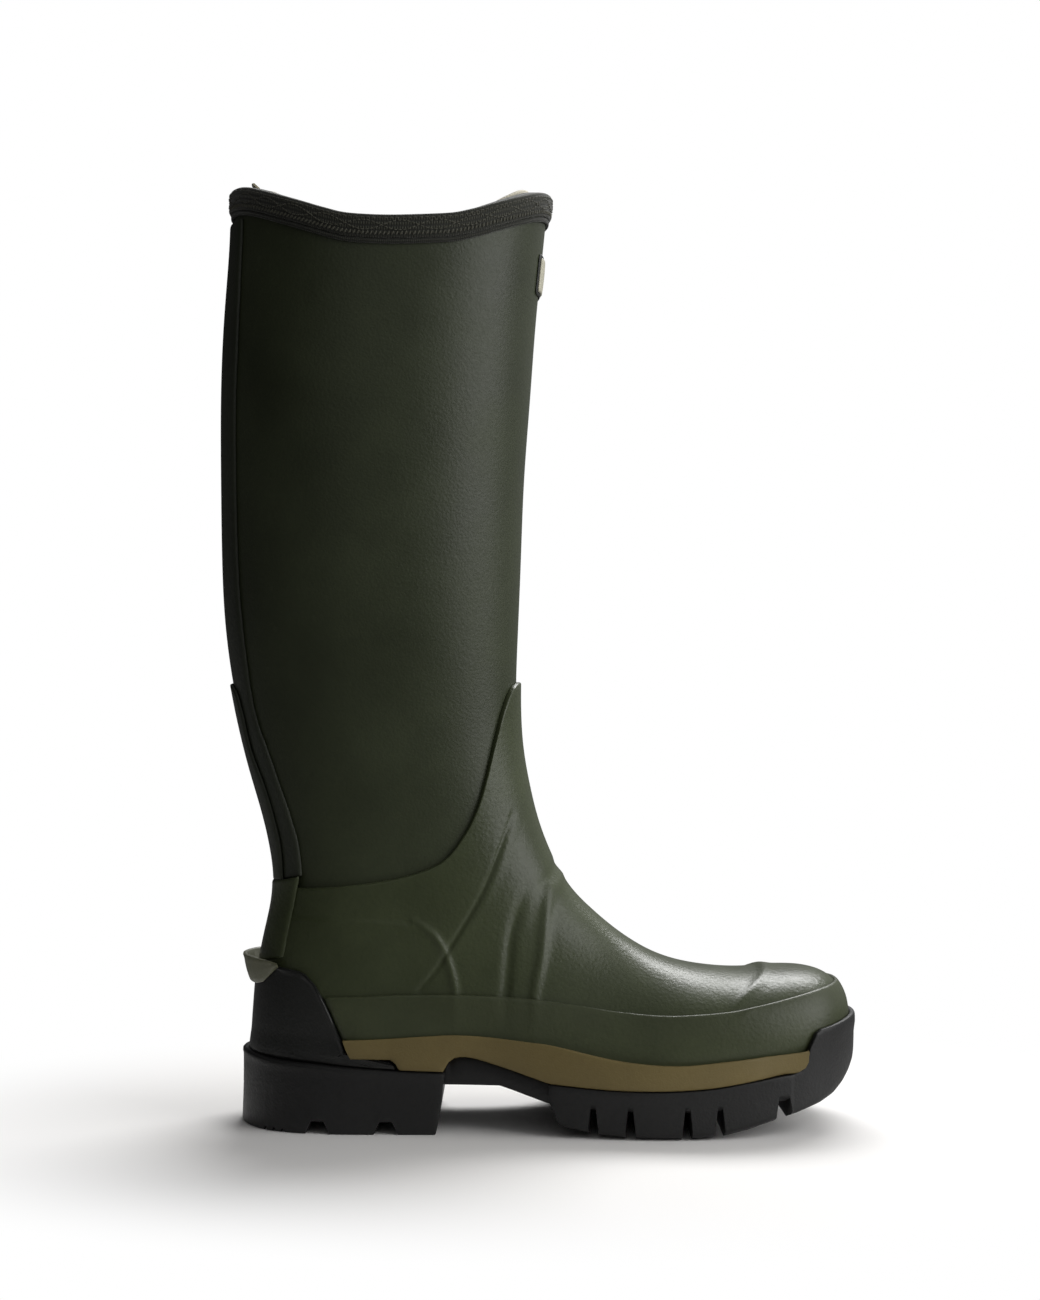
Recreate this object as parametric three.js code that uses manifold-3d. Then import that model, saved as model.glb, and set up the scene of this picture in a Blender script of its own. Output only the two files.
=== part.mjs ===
// One insulated hunting boot for the right foot, as separate closed pieces.
// Millimetres. The toe points to +X, up is +Z, the outer side of the foot faces -Y, the ground is Z = 0.
import * as THREE from 'three';
import { mergeVertices } from 'three/addons/utils/BufferGeometryUtils.js';
import Module from 'manifold-3d';

const wasm = await Module();
wasm.setup();

// ---- overall sizes ----
const BOOT_LENGTH = 291;      // calf or heel at the back to the front of the toe bumper
const LEG_WIDTH = 111;        // across the leg at the rim, shell only
const FOOT_WIDTH = 92;        // across the ball of the foot, leg surface only
const RIM_HEIGHT = 427;       // ground to the highest point of the rim

// ---- thicknesses, from the inside out ----
const GAP = 0.3;              // air left between neighbouring pieces
const LEG_SHELL = 2.4;        // rubber of the leg, measured inward from the leg surface
const LEG_LINING = 3.5;       // neoprene inside the leg shell
const VAMP = 2.0;             // rubber of the foot, laid over the leg surface
const GUARD = 1.6;            // green mudguard band on the vamp
const HEEL_CUP = 2.0;         // black cup on the back of the vamp
const STAY = 1.5;             // back stay on the leg
const STRIP = 1.3;            // narrow strip on the back stay
const BUMPER = 2.5;           // toe bumper over the mudguard
const BINDING = 1.8;          // webbing folded over the rim
const FACING = 1.2;           // pale knit band inside the rim
const COUNTER = 1.3;          // heel counter and toe puff, let into the insulation
const BOARD = 2.4;            // insole board
const FOOTBED = 5.0;          // removable footbed
const FOOTBED_PLAY = 3.0;     // room around the footbed so it can be lifted

// ---- heights and other fits ----
const BINDING_HEIGHT = 13.5;
const TAPE_HEIGHT = 3.2;      // edge tape under the binding
const FACING_HEIGHT = 30;
const UNDERLAP = 9;           // how far the leg shell runs down behind the vamp
const NOTCH = 5.5;            // depth of the tread grooves in the heel

// ---- offsets of each layer from the leg surface ----
const vampIn = GAP;
const vampOut = vampIn + VAMP;
const guardIn = vampOut + GAP;
const guardOut = guardIn + GUARD;
const cupOut = guardIn + HEEL_CUP;
const bumperIn = guardOut + GAP;
const bumperOut = bumperIn + BUMPER;
const shellIn = -LEG_SHELL;
const liningOut = shellIn - GAP;
const liningIn = liningOut - LEG_LINING;
const stayOut = GAP + STAY;
const stripIn = stayOut + GAP;
const stripOut = stripIn + STRIP;
const bindingOut = GAP + BINDING;
const bindingIn = liningIn - GAP - BINDING;
const facingOut = bindingIn - GAP;
const facingIn = facingOut - FACING;

// The drawing below is for a boot 291 long, 111 across the leg, 92 across the foot and 427 tall.
const along = (x) => x * BOOT_LENGTH / 291;
const legAcross = (y) => y * LEG_WIDTH / 111;
const footAcross = (y) => y * FOOT_WIDTH / 92;
const ANKLE = 200;
const up = (z) => (z > ANKLE ? ANKLE + (z - ANKLE) * (RIM_HEIGHT - ANKLE) / (427 - ANKLE) : z);
const at = (x, z) => new THREE.Vector2(along(x), up(z));

// ---- the leg surface ----
// Each station is one slice through the boot: the point on its back or underside, the point on its
// front or top, half its width on the outer and on the inner side, and how square the slice is.
// Slices are level in the leg, fan out round the heel and stand nearly upright at the toe.
const stations = [
  { back: [-139.8, 438], front: [6.0, 438], outer: 55.5, inner: 55.5, square: 2.1 },
  { back: [-139.8, 404], front: [2.8, 404], outer: 55.5, inner: 55.5, square: 2.1 },
  { back: [-142.4, 367], front: [-0.9, 367], outer: 55, inner: 55, square: 2.1 },
  { back: [-143.9, 330], front: [-3.7, 330], outer: 54, inner: 54, square: 2.1 },
  { back: [-143.9, 293], front: [-6.4, 293], outer: 52, inner: 52, square: 2.1 },
  { back: [-143.4, 256], front: [-7.9, 256], outer: 49.5, inner: 49.5, square: 2.1 },
  { back: [-141.8, 226], front: [-9.2, 224], outer: 46.5, inner: 46.5, square: 2.15 },
  { back: [-137.6, 196], front: [-10.0, 202], outer: 43.5, inner: 43.2, square: 2.2 },
  { back: [-130.6, 165], front: [-9.9, 183], outer: 40.5, inner: 40, square: 2.25 },
  { back: [-123.4, 140], front: [-8.4, 166], outer: 38.5, inner: 38, square: 2.3 },
  { back: [-118.7, 116], front: [-5.2, 149], outer: 37, inner: 36.5, square: 2.35 },
  { back: [-119.5, 97], front: [-1.2, 134], outer: 36, inner: 35.5, square: 2.4 },
  { back: [-123.9, 76], front: [5.0, 118.5], outer: 35.4, inner: 35, square: 2.5 },
  { back: [-126.3, 52], front: [13.0, 104.8], outer: 35.2, inner: 34.8, square: 2.6 },
  { back: [-126.8, 29], front: [23.0, 94.2], outer: 35.4, inner: 34.6, square: 2.7 },
  { back: [-118, 8], front: [35.5, 83.8], outer: 36.2, inner: 34.6, square: 2.7 },
  { back: [-88, 2], front: [50, 74.8], outer: 38, inner: 35.2, square: 2.7 },
  { back: [-48, 0], front: [64, 69.7], outer: 41, inner: 37.5, square: 2.6 },
  { back: [-4, 0], front: [78, 67.2], outer: 45, inner: 41, square: 2.5 },
  { back: [35, 0], front: [92, 66.2], outer: 47.5, inner: 44.5, square: 2.5 },
  { back: [68, 1], front: [105, 66.8], outer: 46, inner: 45, square: 2.45 },
  { back: [93, 4], front: [117, 67.1], outer: 41.5, inner: 42, square: 2.4 },
  { back: [110, 9.5], front: [126, 65.9], outer: 36, inner: 37.5, square: 2.35 },
  { back: [122, 17.5], front: [132.6, 62.8], outer: 28.2, inner: 29.8, square: 2.3 },
  { back: [130.6, 27.5], front: [136.6, 57], outer: 19, inner: 20.5, square: 2.2 },
  { back: [136, 36], front: [138.3, 50], outer: 9.8, inner: 10.6, square: 2.1 },
  { back: [138.7, 43], front: [138.8, 43.2], outer: 0.1, inner: 0.1, square: 2.1 },
];
const FOOT_STARTS = 12;       // from this station on, widths follow the foot width

const RINGS = 27;
const AROUND = 24;

function widthOf(station, index, side) {
  return index < FOOT_STARTS ? legAcross(station[side]) : footAcross(station[side]);
}

const backCurve = new THREE.CatmullRomCurve3(stations.map((s, i) => {
  const p = at(...s.back);
  return new THREE.Vector3(p.x, widthOf(s, i, 'outer'), p.y);
}));
const frontCurve = new THREE.CatmullRomCurve3(stations.map((s, i) => {
  const p = at(...s.front);
  return new THREE.Vector3(p.x, widthOf(s, i, 'inner'), p.y);
}));

function squareness(t) {
  const place = t * (stations.length - 1);
  const i = Math.min(Math.floor(place), stations.length - 2);
  return THREE.MathUtils.lerp(stations[i].square, stations[i + 1].square, place - i);
}

// A point of the leg surface: t runs from the rim (0) to the toe (1), angle 0 is front or top.
function surfacePoint(t, angle) {
  const back = backCurve.getPoint(t);
  const front = frontCurve.getPoint(t);
  const c = Math.cos(angle);
  const s = Math.sin(angle);
  const n = squareness(t);
  const swell = (Math.abs(c) ** n + Math.abs(s) ** n) ** (-1 / n);
  const half = 0.5 * swell * c;
  const width = Math.max(s > 0 ? back.y : front.y, 0.05);
  return new THREE.Vector3(
    (back.x + front.x) / 2 + (front.x - back.x) * half,
    -swell * s * width,
    (back.z + front.z) / 2 + (front.z - back.z) * half,
  );
}

function surfaceNormal(t, angle) {
  const step = 0.004;
  const t0 = Math.max(t - step, 0);
  const t1 = Math.min(t + step, 1 - step);
  const down = surfacePoint(t1, angle).sub(surfacePoint(t0, angle));
  const round = surfacePoint(t, angle + 0.04).sub(surfacePoint(t, angle - 0.04));
  return round.cross(down).normalize();
}

// The whole boot volume pushed out (or in, when negative) by an offset, closed at rim and toe.
function boot(offset) {
  const positions = [];
  const faces = [];
  for (let i = 0; i < RINGS; i++) {
    const t = i / RINGS;
    for (let j = 0; j < AROUND; j++) {
      const angle = j * 2 * Math.PI / AROUND;
      const p = surfacePoint(t, angle).addScaledVector(surfaceNormal(t, angle), offset);
      positions.push(p.x, p.y, p.z);
    }
  }
  const rim = RINGS * AROUND;
  const toe = rim + 1;
  const top = surfacePoint(0, 0).add(surfacePoint(0, Math.PI)).multiplyScalar(0.5);
  const tip = surfacePoint(1, 0);
  positions.push(top.x, 0, top.z, tip.x + offset, 0, tip.z);
  for (let j = 0; j < AROUND; j++) {
    const k = (j + 1) % AROUND;
    faces.push(rim, k, j);
    for (let i = 0; i < RINGS - 1; i++) {
      const a = i * AROUND;
      const b = a + AROUND;
      faces.push(a + j, a + k, b + j, a + k, b + k, b + j);
    }
    const last = (RINGS - 1) * AROUND;
    faces.push(last + j, last + k, toe);
  }
  const geometry = new THREE.BufferGeometry();
  geometry.setAttribute('position', new THREE.Float32BufferAttribute(positions, 3));
  geometry.setIndex(faces);
  return solid(geometry);
}

function solid(geometry) {
  geometry.deleteAttribute('normal');
  geometry.deleteAttribute('uv');
  const welded = mergeVertices(geometry, 1e-4);
  return new wasm.Manifold(new wasm.Mesh({
    numProp: 3,
    vertProperties: new Float32Array(welded.attributes.position.array),
    triVerts: new Uint32Array(welded.index.array),
  }));
}

const bootCache = new Map();
function inside(offset) {
  const key = offset.toFixed(4);
  if (!bootCache.has(key)) bootCache.set(key, boot(offset));
  return bootCache.get(key);
}
const layer = (outer, inner) => inside(outer).subtract(inside(inner));

// ---- side-view cutters: an outline in X and Z, run right across the boot ----
const REACH = 200;
function across(points, yMin = -REACH, yMax = REACH) {
  const geometry = new THREE.ExtrudeGeometry(new THREE.Shape(points), {
    depth: yMax - yMin,
    bevelEnabled: false,
  });
  geometry.rotateX(Math.PI / 2);
  geometry.translate(0, yMax, 0);
  return solid(geometry);
}
const curve = (points, count) => new THREE.SplineCurve(points).getPoints(count);
const line = (pairs, count = 18) => curve(pairs.map((p) => at(...p)), count);
const moved = (points, dx, dz) => points.map((p) => new THREE.Vector2(p.x + dx, p.y + dz));

// Everything under or over a line drawn from small X to large X.
function below(points, floor = -50) {
  const first = points[0];
  const last = points[points.length - 1];
  return across([
    new THREE.Vector2(-400, first.y), ...points, new THREE.Vector2(400, last.y),
    new THREE.Vector2(400, floor), new THREE.Vector2(-400, floor),
  ]);
}
function above(points) {
  return below(points, 700);
}
// Everything behind a line drawn from low to high.
function behind(points) {
  const first = points[0];
  const last = points[points.length - 1];
  return across([
    new THREE.Vector2(first.x, -50), ...points, new THREE.Vector2(last.x, 700),
    new THREE.Vector2(-400, 700), new THREE.Vector2(-400, -50),
  ]);
}

// ---- lines seen from the side ----
const rimLine = line([
  [-165, 428], [-146, 427], [-136, 426.3], [-129, 424.8], [-117, 419.5], [-105, 414.5], [-94, 410.1],
  [-83, 406.8], [-64, 405.6], [-41, 407.2], [-30, 410], [-20, 414], [-9, 418.9], [2, 424], [15, 427],
], 18);
const seamLine = line([
  [-150, 110], [-122, 109], [-105, 108], [-79, 110.6], [-58.6, 114.4], [-43.4, 120.6], [-34, 131.8],
  [-28, 144], [-24, 158], [-20, 175.5], [-16.5, 189], [-12, 198.7], [-4, 202], [10, 203],
], 18);
const underlapLine = moved(seamLine, UNDERLAP * 0.6, -UNDERLAP * 0.8);
const soleSeat = line([
  [-160, 36], [-70, 36.2], [-36, 36.3], [-15, 34.6], [5, 32], [40, 29.5], [75, 30], [100, 32.5],
  [120, 37], [145, 44],
]);
const guardTop = line([
  [-150, 60], [-91, 60.3], [-62.6, 61.6], [-34, 61.5], [-6, 59.4], [16.6, 56], [35, 52.9],
  [54, 51.2], [70, 51.6], [88, 53.3], [107, 56.6], [125, 60], [137, 62.1], [150, 64],
], 20);
const midsoleTop = line([
  [-150, 41], [-87, 41.5], [-53, 43.4], [-39, 44.2], [-25, 43.7], [-6, 41.8], [6, 40.5], [22, 37],
  [35, 34.5], [50, 32.9], [64.5, 32.7], [79, 33.9], [107, 36.7], [119.5, 39.2], [150, 44],
], 20);
const outsoleTop = line([
  [4.5, 23.3], [29.5, 21.5], [53.6, 21.2], [75.5, 22.3], [94, 25], [106.4, 27], [112.8, 28], [150, 34],
], 14);
const blockTop = line([
  [-160, 34.6], [-136, 33.8], [-118, 31.7], [-99, 30.6], [-84, 29.4], [-63, 28.2], [-42.5, 27.6], [-20, 27],
], 10);
const archLine = line([
  [-41.6, 27.6], [-40.8, 31], [-36.7, 34], [-29, 33.8], [-15, 29.7], [-5.6, 26.6], [4.5, 23.3],
], 12);
const cupTop = [
  at(-150, 72.4), at(-118, 72.4), at(-107.5, 71.6), at(-101.4, 69), at(-96, 60), at(-89, 44.3),
  at(-84, 33.9), at(-65, 32.8), at(-62.6, 27),
];
const bumperTop = [
  at(112.8, 27.4), at(116.8, 29.4), at(118.8, 31.6), at(120.3, 38.5), at(121.5, 41), at(123.4, 44.9),
  at(125.6, 46.4), at(135.4, 48.3), at(142.1, 49.8), at(160, 51),
];
const rearBackStay = line([
  [-105.9, 100], [-105.9, 110.6], [-107.2, 126], [-111.3, 140.9], [-116.7, 156.3], [-121.7, 170.7],
  [-127.6, 188.5], [-132, 219.5], [-134.8, 255.5], [-135.7, 318.5], [-134.3, 359], [-132.5, 409], [-132, 440],
], 20);
const rearSpine = line([
  [-113.6, 100], [-113.8, 112.2], [-114.7, 125.9], [-117.9, 140.4], [-122.4, 155], [-128.3, 170.4],
  [-132.4, 188.2], [-137, 199], [-150, 204.5],
], 14);
const rearHeelStrip = [
  at(-113.9, 60), at(-113.7, 73.3), at(-112.8, 77.9), at(-110.6, 88.7), at(-108, 100.9), at(-106, 112),
];

// ---- the sole seen from above ----
const soleEdge = [
  [-134.6, 0], [-131.4, -15], [-122.5, -28.5], [-108, -37], [-88, -40.6], [-62, -41.2], [-35, -42],
  [-5, -46.2], [24, -52], [50, -55.2], [76, -54.2], [100, -49.8], [119, -38.5], [133, -22], [140.5, -7],
  [141.5, 4], [135.5, 22], [121, 38.5], [100, 49.8], [76, 52.8], [50, 52], [24, 47], [-5, 41.2],
  [-35, 39.4], [-62, 39.6], [-88, 39.6], [-108, 36.5], [-122.5, 28.5], [-131.4, 15],
];
function solePlan(grow, zMin = -1, zMax = 60) {
  const points = soleEdge.map(([x, y]) => new THREE.Vector3(along(x), footAcross(y), 0));
  const path = new THREE.CatmullRomCurve3(points, true);
  const count = 60;
  const outline = [];
  for (let i = 0; i < count; i++) {
    const p = path.getPoint(i / count);
    const d = path.getTangent(i / count);
    outline.push(new THREE.Vector2(p.x + d.y * grow, p.y - d.x * grow));
  }
  const geometry = new THREE.ExtrudeGeometry(new THREE.Shape(outline), {
    depth: zMax - zMin,
    bevelEnabled: false,
  });
  geometry.translate(0, 0, zMin);
  return solid(geometry);
}

// ---- collecting the pieces ----
const SMOOTHING = 0.1;       // faces that bend less than this are joined
const root = new THREE.Group();
root.name = 'insulated_hunting_boot';

function add(name, body, colour, roughness, metalness = 0) {
  const found = body.simplify(SMOOTHING).getMesh();
  const geometry = new THREE.BufferGeometry();
  const corners = [];
  for (let i = 0; i < found.vertProperties.length; i += found.numProp) {
    corners.push(...found.vertProperties.subarray(i, i + 3));
  }
  geometry.setAttribute('position', new THREE.Float32BufferAttribute(corners, 3));
  geometry.setIndex([...found.triVerts]);
  geometry.computeVertexNormals();
  const material = new THREE.MeshStandardMaterial({ color: colour, roughness, metalness });
  material.name = name;
  const mesh = new THREE.Mesh(geometry, material);
  mesh.name = name;
  root.add(mesh);
}

// ---- colours ----
const LEG_GREEN = 0x32362b;
const FOOT_GREEN = 0x4a4f3e;
const OLIVE = 0x6f6545;
const BLACK = 0x1c1e1d;
const DARK_WEB = 0x2f2c25;
const PALE = 0xd6d0bd;
const INNER_GREY = 0x3b3d3a;

// ---- leg ----
const rimInner = moved(rimLine, 0, -BINDING - GAP);
const bindingFoot = moved(rimLine, 0, -BINDING_HEIGHT);
const tapeFoot = moved(bindingFoot, 0, -TAPE_HEIGHT);
const seamAbove = moved(seamLine, 0, GAP);
const footAbove = below(seamLine);

add('leg_shell',
  layer(0, shellIn).intersect(below(rimInner)).intersect(above(underlapLine)),
  LEG_GREEN, 0.55);
add('leg_lining',
  layer(liningOut, liningIn).intersect(below(rimInner)).intersect(above(underlapLine)),
  INNER_GREY, 0.95);
add('back_stay',
  layer(stayOut, GAP).intersect(behind(rearBackStay)).intersect(above(seamAbove))
    .intersect(below(moved(tapeFoot, 0, -GAP))),
  LEG_GREEN, 0.6);
add('spine_strip',
  layer(stripOut, stripIn).intersect(behind(rearSpine)).intersect(above(seamAbove)),
  LEG_GREEN, 0.6);

// ---- rim: webbing folded over the edge, edge tape, pale facing and pull loop ----
add('top_binding',
  layer(bindingOut, bindingIn).intersect(below(rimLine)).intersect(above(bindingFoot))
    .subtract(layer(GAP, liningIn - GAP).intersect(below(moved(rimLine, 0, -BINDING)))),
  DARK_WEB, 0.9);
add('edge_tape',
  layer(GAP + 1.2, GAP).intersect(below(moved(bindingFoot, 0, -GAP))).intersect(above(tapeFoot)),
  DARK_WEB, 0.85);
const facingTop = line([
  [-150, 428.2], [-129, 425.8], [-117, 419.5], [-94, 407.5], [-64, 402.6], [-30, 407], [-9, 418.8],
  [2, 425.2], [12, 427.6],
], 20);
add('collar_facing',
  layer(facingOut, facingIn).intersect(below(facingTop)).intersect(above(moved(rimLine, 0, -FACING_HEIGHT))),
  PALE, 0.95);
const LOOP_WIDTH = 20;
const LOOP_THICK = 1.5;
add('pull_loop',
  layer(facingIn - GAP, facingIn - GAP - LOOP_THICK).intersect(across([
    at(-150, 386), at(-100, 386), at(-100, 428.6), at(-150, 428.6),
  ], -LOOP_WIDTH / 2, LOOP_WIDTH / 2)),
  PALE, 0.9);

// ---- badge on the front of the leg ----
const BADGE_WIDTH = 22;
const BADGE_BACK = 0.8;
const badgePatch = (outer, inner, zMin, zMax, width) => layer(outer, inner).intersect(across([
  at(-40, zMin), at(30, zMin), at(30, zMax), at(-40, zMax),
], -width / 2, width / 2));
add('badge_backing', badgePatch(GAP + BADGE_BACK, GAP, 375.5, 397, BADGE_WIDTH + 5), BLACK, 0.6);
add('badge_plate',
  badgePatch(2 * GAP + BADGE_BACK + 1.2, 2 * GAP + BADGE_BACK, 378, 394.6, BADGE_WIDTH),
  PALE, 0.5);

// ---- foot ----
const seatAbove = above(soleSeat);
const insulationTop = moved(underlapLine, 0, -0.4);
const pocket = (zone) => layer(1, -COUNTER - GAP).intersect(zone);
const counterEdge = [
  at(-36.5, 20), at(-37, 45), at(-37.3, 61), at(-40.5, 75.4), at(-48.6, 86.5), at(-56, 90), at(-75, 92),
  at(-100, 92), at(-150, 92),
];
const counterZone = (grow) => across([
  ...moved(counterEdge, grow, grow), at(-150, 20),
]);
const puffEdge = [at(88, 20), at(88, 50), at(91, 58), at(98, 63.6), at(104, 72), at(160, 90), at(160, 20)];
const puffZone = (grow) => across(moved(puffEdge, -grow, 0));
add('foot_insulation',
  layer(0, liningIn).intersect(below(insulationTop)).intersect(seatAbove)
    .subtract(pocket(counterZone(GAP))).subtract(pocket(puffZone(GAP))),
  INNER_GREY, 0.95);
add('heel_counter',
  layer(0, -COUNTER).intersect(counterZone(0)).intersect(seatAbove).intersect(below(insulationTop)),
  0x8a7f6a, 0.8);
add('toe_puff',
  layer(0, -COUNTER).intersect(puffZone(0)).intersect(seatAbove),
  0x8a7f6a, 0.8);
add('vamp',
  layer(vampOut, vampIn).intersect(footAbove).intersect(seatAbove),
  FOOT_GREEN, 0.5);
const cupTopAbove = moved(cupTop, GAP, GAP);
add('mudguard',
  layer(guardOut, guardIn).intersect(below(guardTop)).intersect(seatAbove).subtract(below(cupTopAbove)),
  FOOT_GREEN, 0.5);
add('heel_strip',
  layer(guardIn + STRIP, guardIn).intersect(behind(rearHeelStrip)).intersect(below(moved(seamLine, 0, -1)))
    .subtract(below(cupTopAbove)),
  FOOT_GREEN, 0.55);
add('heel_cup',
  layer(cupOut, guardIn).intersect(below(cupTop)).intersect(above(moved(blockTop, 0, GAP)))
    .intersect(across([at(-160, 0), at(-62.6, 0), at(-62.6, 90), at(-160, 90)])),
  BLACK, 0.5);

// ---- kick spur: a half cup standing out from the back of the heel ----
const SPUR_AXIS = -102;
const SPUR_WALL = 1.8;
function turned(profile) {
  const geometry = new THREE.LatheGeometry(profile.map(([r, z]) => new THREE.Vector2(r, z)), 48);
  geometry.rotateX(Math.PI / 2);
  geometry.translate(along(SPUR_AXIS), 0, 0);
  return solid(geometry);
}
const spurBody = turned([[0, 60], [29.6, 60], [33.5, 76.5], [0, 76.5]]);
const spurHollow = turned([[0, 66.5], [31.1 - SPUR_WALL, 66.5], [33.8 - SPUR_WALL, 78], [0, 78]]);
add('kick_spur',
  spurBody.intersect(across([
    at(-145, 60.4), at(-131, 60.6), at(-126, 62), at(-118.5, 71), at(-117.5, 74.2), at(-130, 76.2), at(-145, 76.4),
  ])).subtract(spurHollow).subtract(inside(cupOut + GAP)),
  0x9a9a85, 0.5);

// ---- insole ----
const boardSpace = inside(liningIn - GAP);
const SHANK = { length: 96, width: 14, thick: 1.2, front: 8 };
const shankZone = (grow) => across([
  at(SHANK.front - SHANK.length - grow, 20), at(SHANK.front + grow, 20),
  at(SHANK.front + grow, 60), at(SHANK.front - SHANK.length - grow, 60),
], -SHANK.width / 2 - grow, SHANK.width / 2 + grow);
add('insole_board',
  boardSpace.intersect(seatAbove).intersect(below(moved(soleSeat, 0, BOARD)))
    .subtract(shankZone(GAP).intersect(below(moved(soleSeat, 0, SHANK.thick + GAP)))),
  0x9c8b6c, 0.9);
add('steel_shank',
  shankZone(0).intersect(seatAbove).intersect(below(moved(soleSeat, 0, SHANK.thick))),
  0x8d9092, 0.35, 0.9);
const footbedFoot = moved(soleSeat, 0, BOARD + GAP);
add('footbed',
  inside(liningIn - GAP - FOOTBED_PLAY).intersect(above(footbedFoot))
    .intersect(below(moved(footbedFoot, 0, FOOTBED))),
  0x50564a, 0.9);

// ---- sole ----
const WAIST_INSET = 3.2;
const heelFront = [at(-42.5, 60), at(-42.5, 27.6), at(-44, 10), at(-46.5, 0), at(-46.5, -5)];
const groove = (xMin, xMax, zTop) => across([
  at(xMin, -5), at(xMax, -5), at(xMax - 0.4, zTop), at(xMin + 0.4, zTop),
]);
let heelBlock = solePlan(0.8).intersect(below(blockTop)).intersect(across([
  at(-170, 0), at(-46.5, 0), at(-44, 10), at(-42.5, 27.6), at(-42.5, 60), at(-170, 60),
]));
for (const start of [-103.6, -73.2]) heelBlock = heelBlock.subtract(groove(start, start + 10.7, NOTCH));
add('heel_block', heelBlock, BLACK, 0.6);

const midsoleFoot = [
  ...blockTop.filter((p) => p.x < along(-43)), ...archLine, ...outsoleTop.slice(1),
];
const bumperRear = moved(bumperTop.slice(0, 7), -GAP, GAP);
const midsoleFront = across([
  at(-200, -10), at(113, -10), ...bumperRear, at(126, 60), at(-200, 60),
]);
const footSpace = inside(bumperIn).intersect(above(moved(soleSeat, 0, -GAP)));
const cupSpace = below(moved(cupTop, GAP, GAP)).intersect(across([
  at(-200, -10), at(-62.3, -10), at(-62.3, 90), at(-200, 90),
])).subtract(inside(vampOut));
add('midsole',
  solePlan(0).intersect(below(midsoleTop)).intersect(above(moved(midsoleFoot, 0, GAP))).intersect(midsoleFront)
    .subtract(footSpace).subtract(cupSpace),
  OLIVE, 0.6);

add('waist_plate',
  solePlan(-WAIST_INSET).intersect(across([
    at(-42.8, 21.6), at(-18, 21.6), at(-12, 19.7), at(-3, 16.5), at(3.2, 14.4), at(3.9, 22.4),
    ...moved(archLine, 0, -GAP).reverse().filter((p) => p.x > along(-40.6) && p.x < along(3.8)),
    at(-41.3, 27),
  ])),
  BLACK, 0.6);

const treadLine = [
  at(4.4, 23.4), at(3.8, 14), at(0, 11), at(-0.3, 7.5), at(12, 3.6), at(28, 1), at(45, 0), at(70, 0),
  at(81, 1), at(92, 3.3), at(103, 6.5), at(117, 9.8), at(126, 12.5), at(133, 15.5), at(137.5, 19),
  at(141, 23), at(143.5, 27), at(145.9, 36), at(160, 60), at(160, 90), at(4.4, 90),
];
const outsoleCap = [...outsoleTop.filter((p) => p.x < along(112)), ...bumperTop];
const bumperBody = inside(bumperOut).intersect(across([at(100, 0), at(170, 0), at(170, 80), at(100, 80)]));
let outsole = solePlan(0.8).add(bumperBody).intersect(across(treadLine)).intersect(below(outsoleCap))
  .subtract(footSpace);
for (const [start, end, top] of [[21.6, 26, 12], [37.8, 42.3, 11.5], [62.9, 67.4, 11.5], [77.3, 81.8, 12],
  [105.5, 111.8, 15.5]]) {
  outsole = outsole.subtract(groove(start, end, top));
}
add('forefoot_outsole', outsole, BLACK, 0.6);

export default root;
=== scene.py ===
# %% [markdown]
# # An insulated rubber hunting boot
# This lesson builds one right boot around a fixed frame of solids. The frame says where every piece sits.
# Each piece that shows is rebuilt here as a smooth surface, and each surface gets a finish made of nodes.
# The toe points to +X, up is +Z and the outer side of the foot faces -Y. Lengths in the drawings are in
# millimetres and become metres when a mesh is made.

# %% Load the frame and keep its solids in place
import math
import bmesh
import bpy
import numpy as np
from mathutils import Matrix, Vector


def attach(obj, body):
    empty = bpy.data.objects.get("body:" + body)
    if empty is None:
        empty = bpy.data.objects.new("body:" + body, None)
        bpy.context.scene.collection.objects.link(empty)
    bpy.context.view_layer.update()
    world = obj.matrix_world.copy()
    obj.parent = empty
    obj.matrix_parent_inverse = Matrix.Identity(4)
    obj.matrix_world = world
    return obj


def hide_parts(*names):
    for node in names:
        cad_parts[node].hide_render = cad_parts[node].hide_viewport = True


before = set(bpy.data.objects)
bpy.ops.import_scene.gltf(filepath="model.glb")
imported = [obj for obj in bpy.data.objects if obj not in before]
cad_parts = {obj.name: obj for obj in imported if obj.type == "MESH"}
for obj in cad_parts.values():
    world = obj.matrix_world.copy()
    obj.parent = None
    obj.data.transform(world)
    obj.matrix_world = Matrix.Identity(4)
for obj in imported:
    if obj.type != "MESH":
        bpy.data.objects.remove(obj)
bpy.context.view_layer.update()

MM = 0.001  # one millimetre of the drawings, in metres

# %% [markdown]
# ## The last as a surface
# A boot is built on a last, a solid foot and leg form. Sculpting it by hand would be quick but hard to
# repeat, so the form is given as slices: each has a point on the back or underside, one on the front or
# top, a half width on each side and a number for how square it is. A smooth spline runs through the
# slices, so every piece can be laid on the same form and pushed out by its own thickness.

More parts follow.
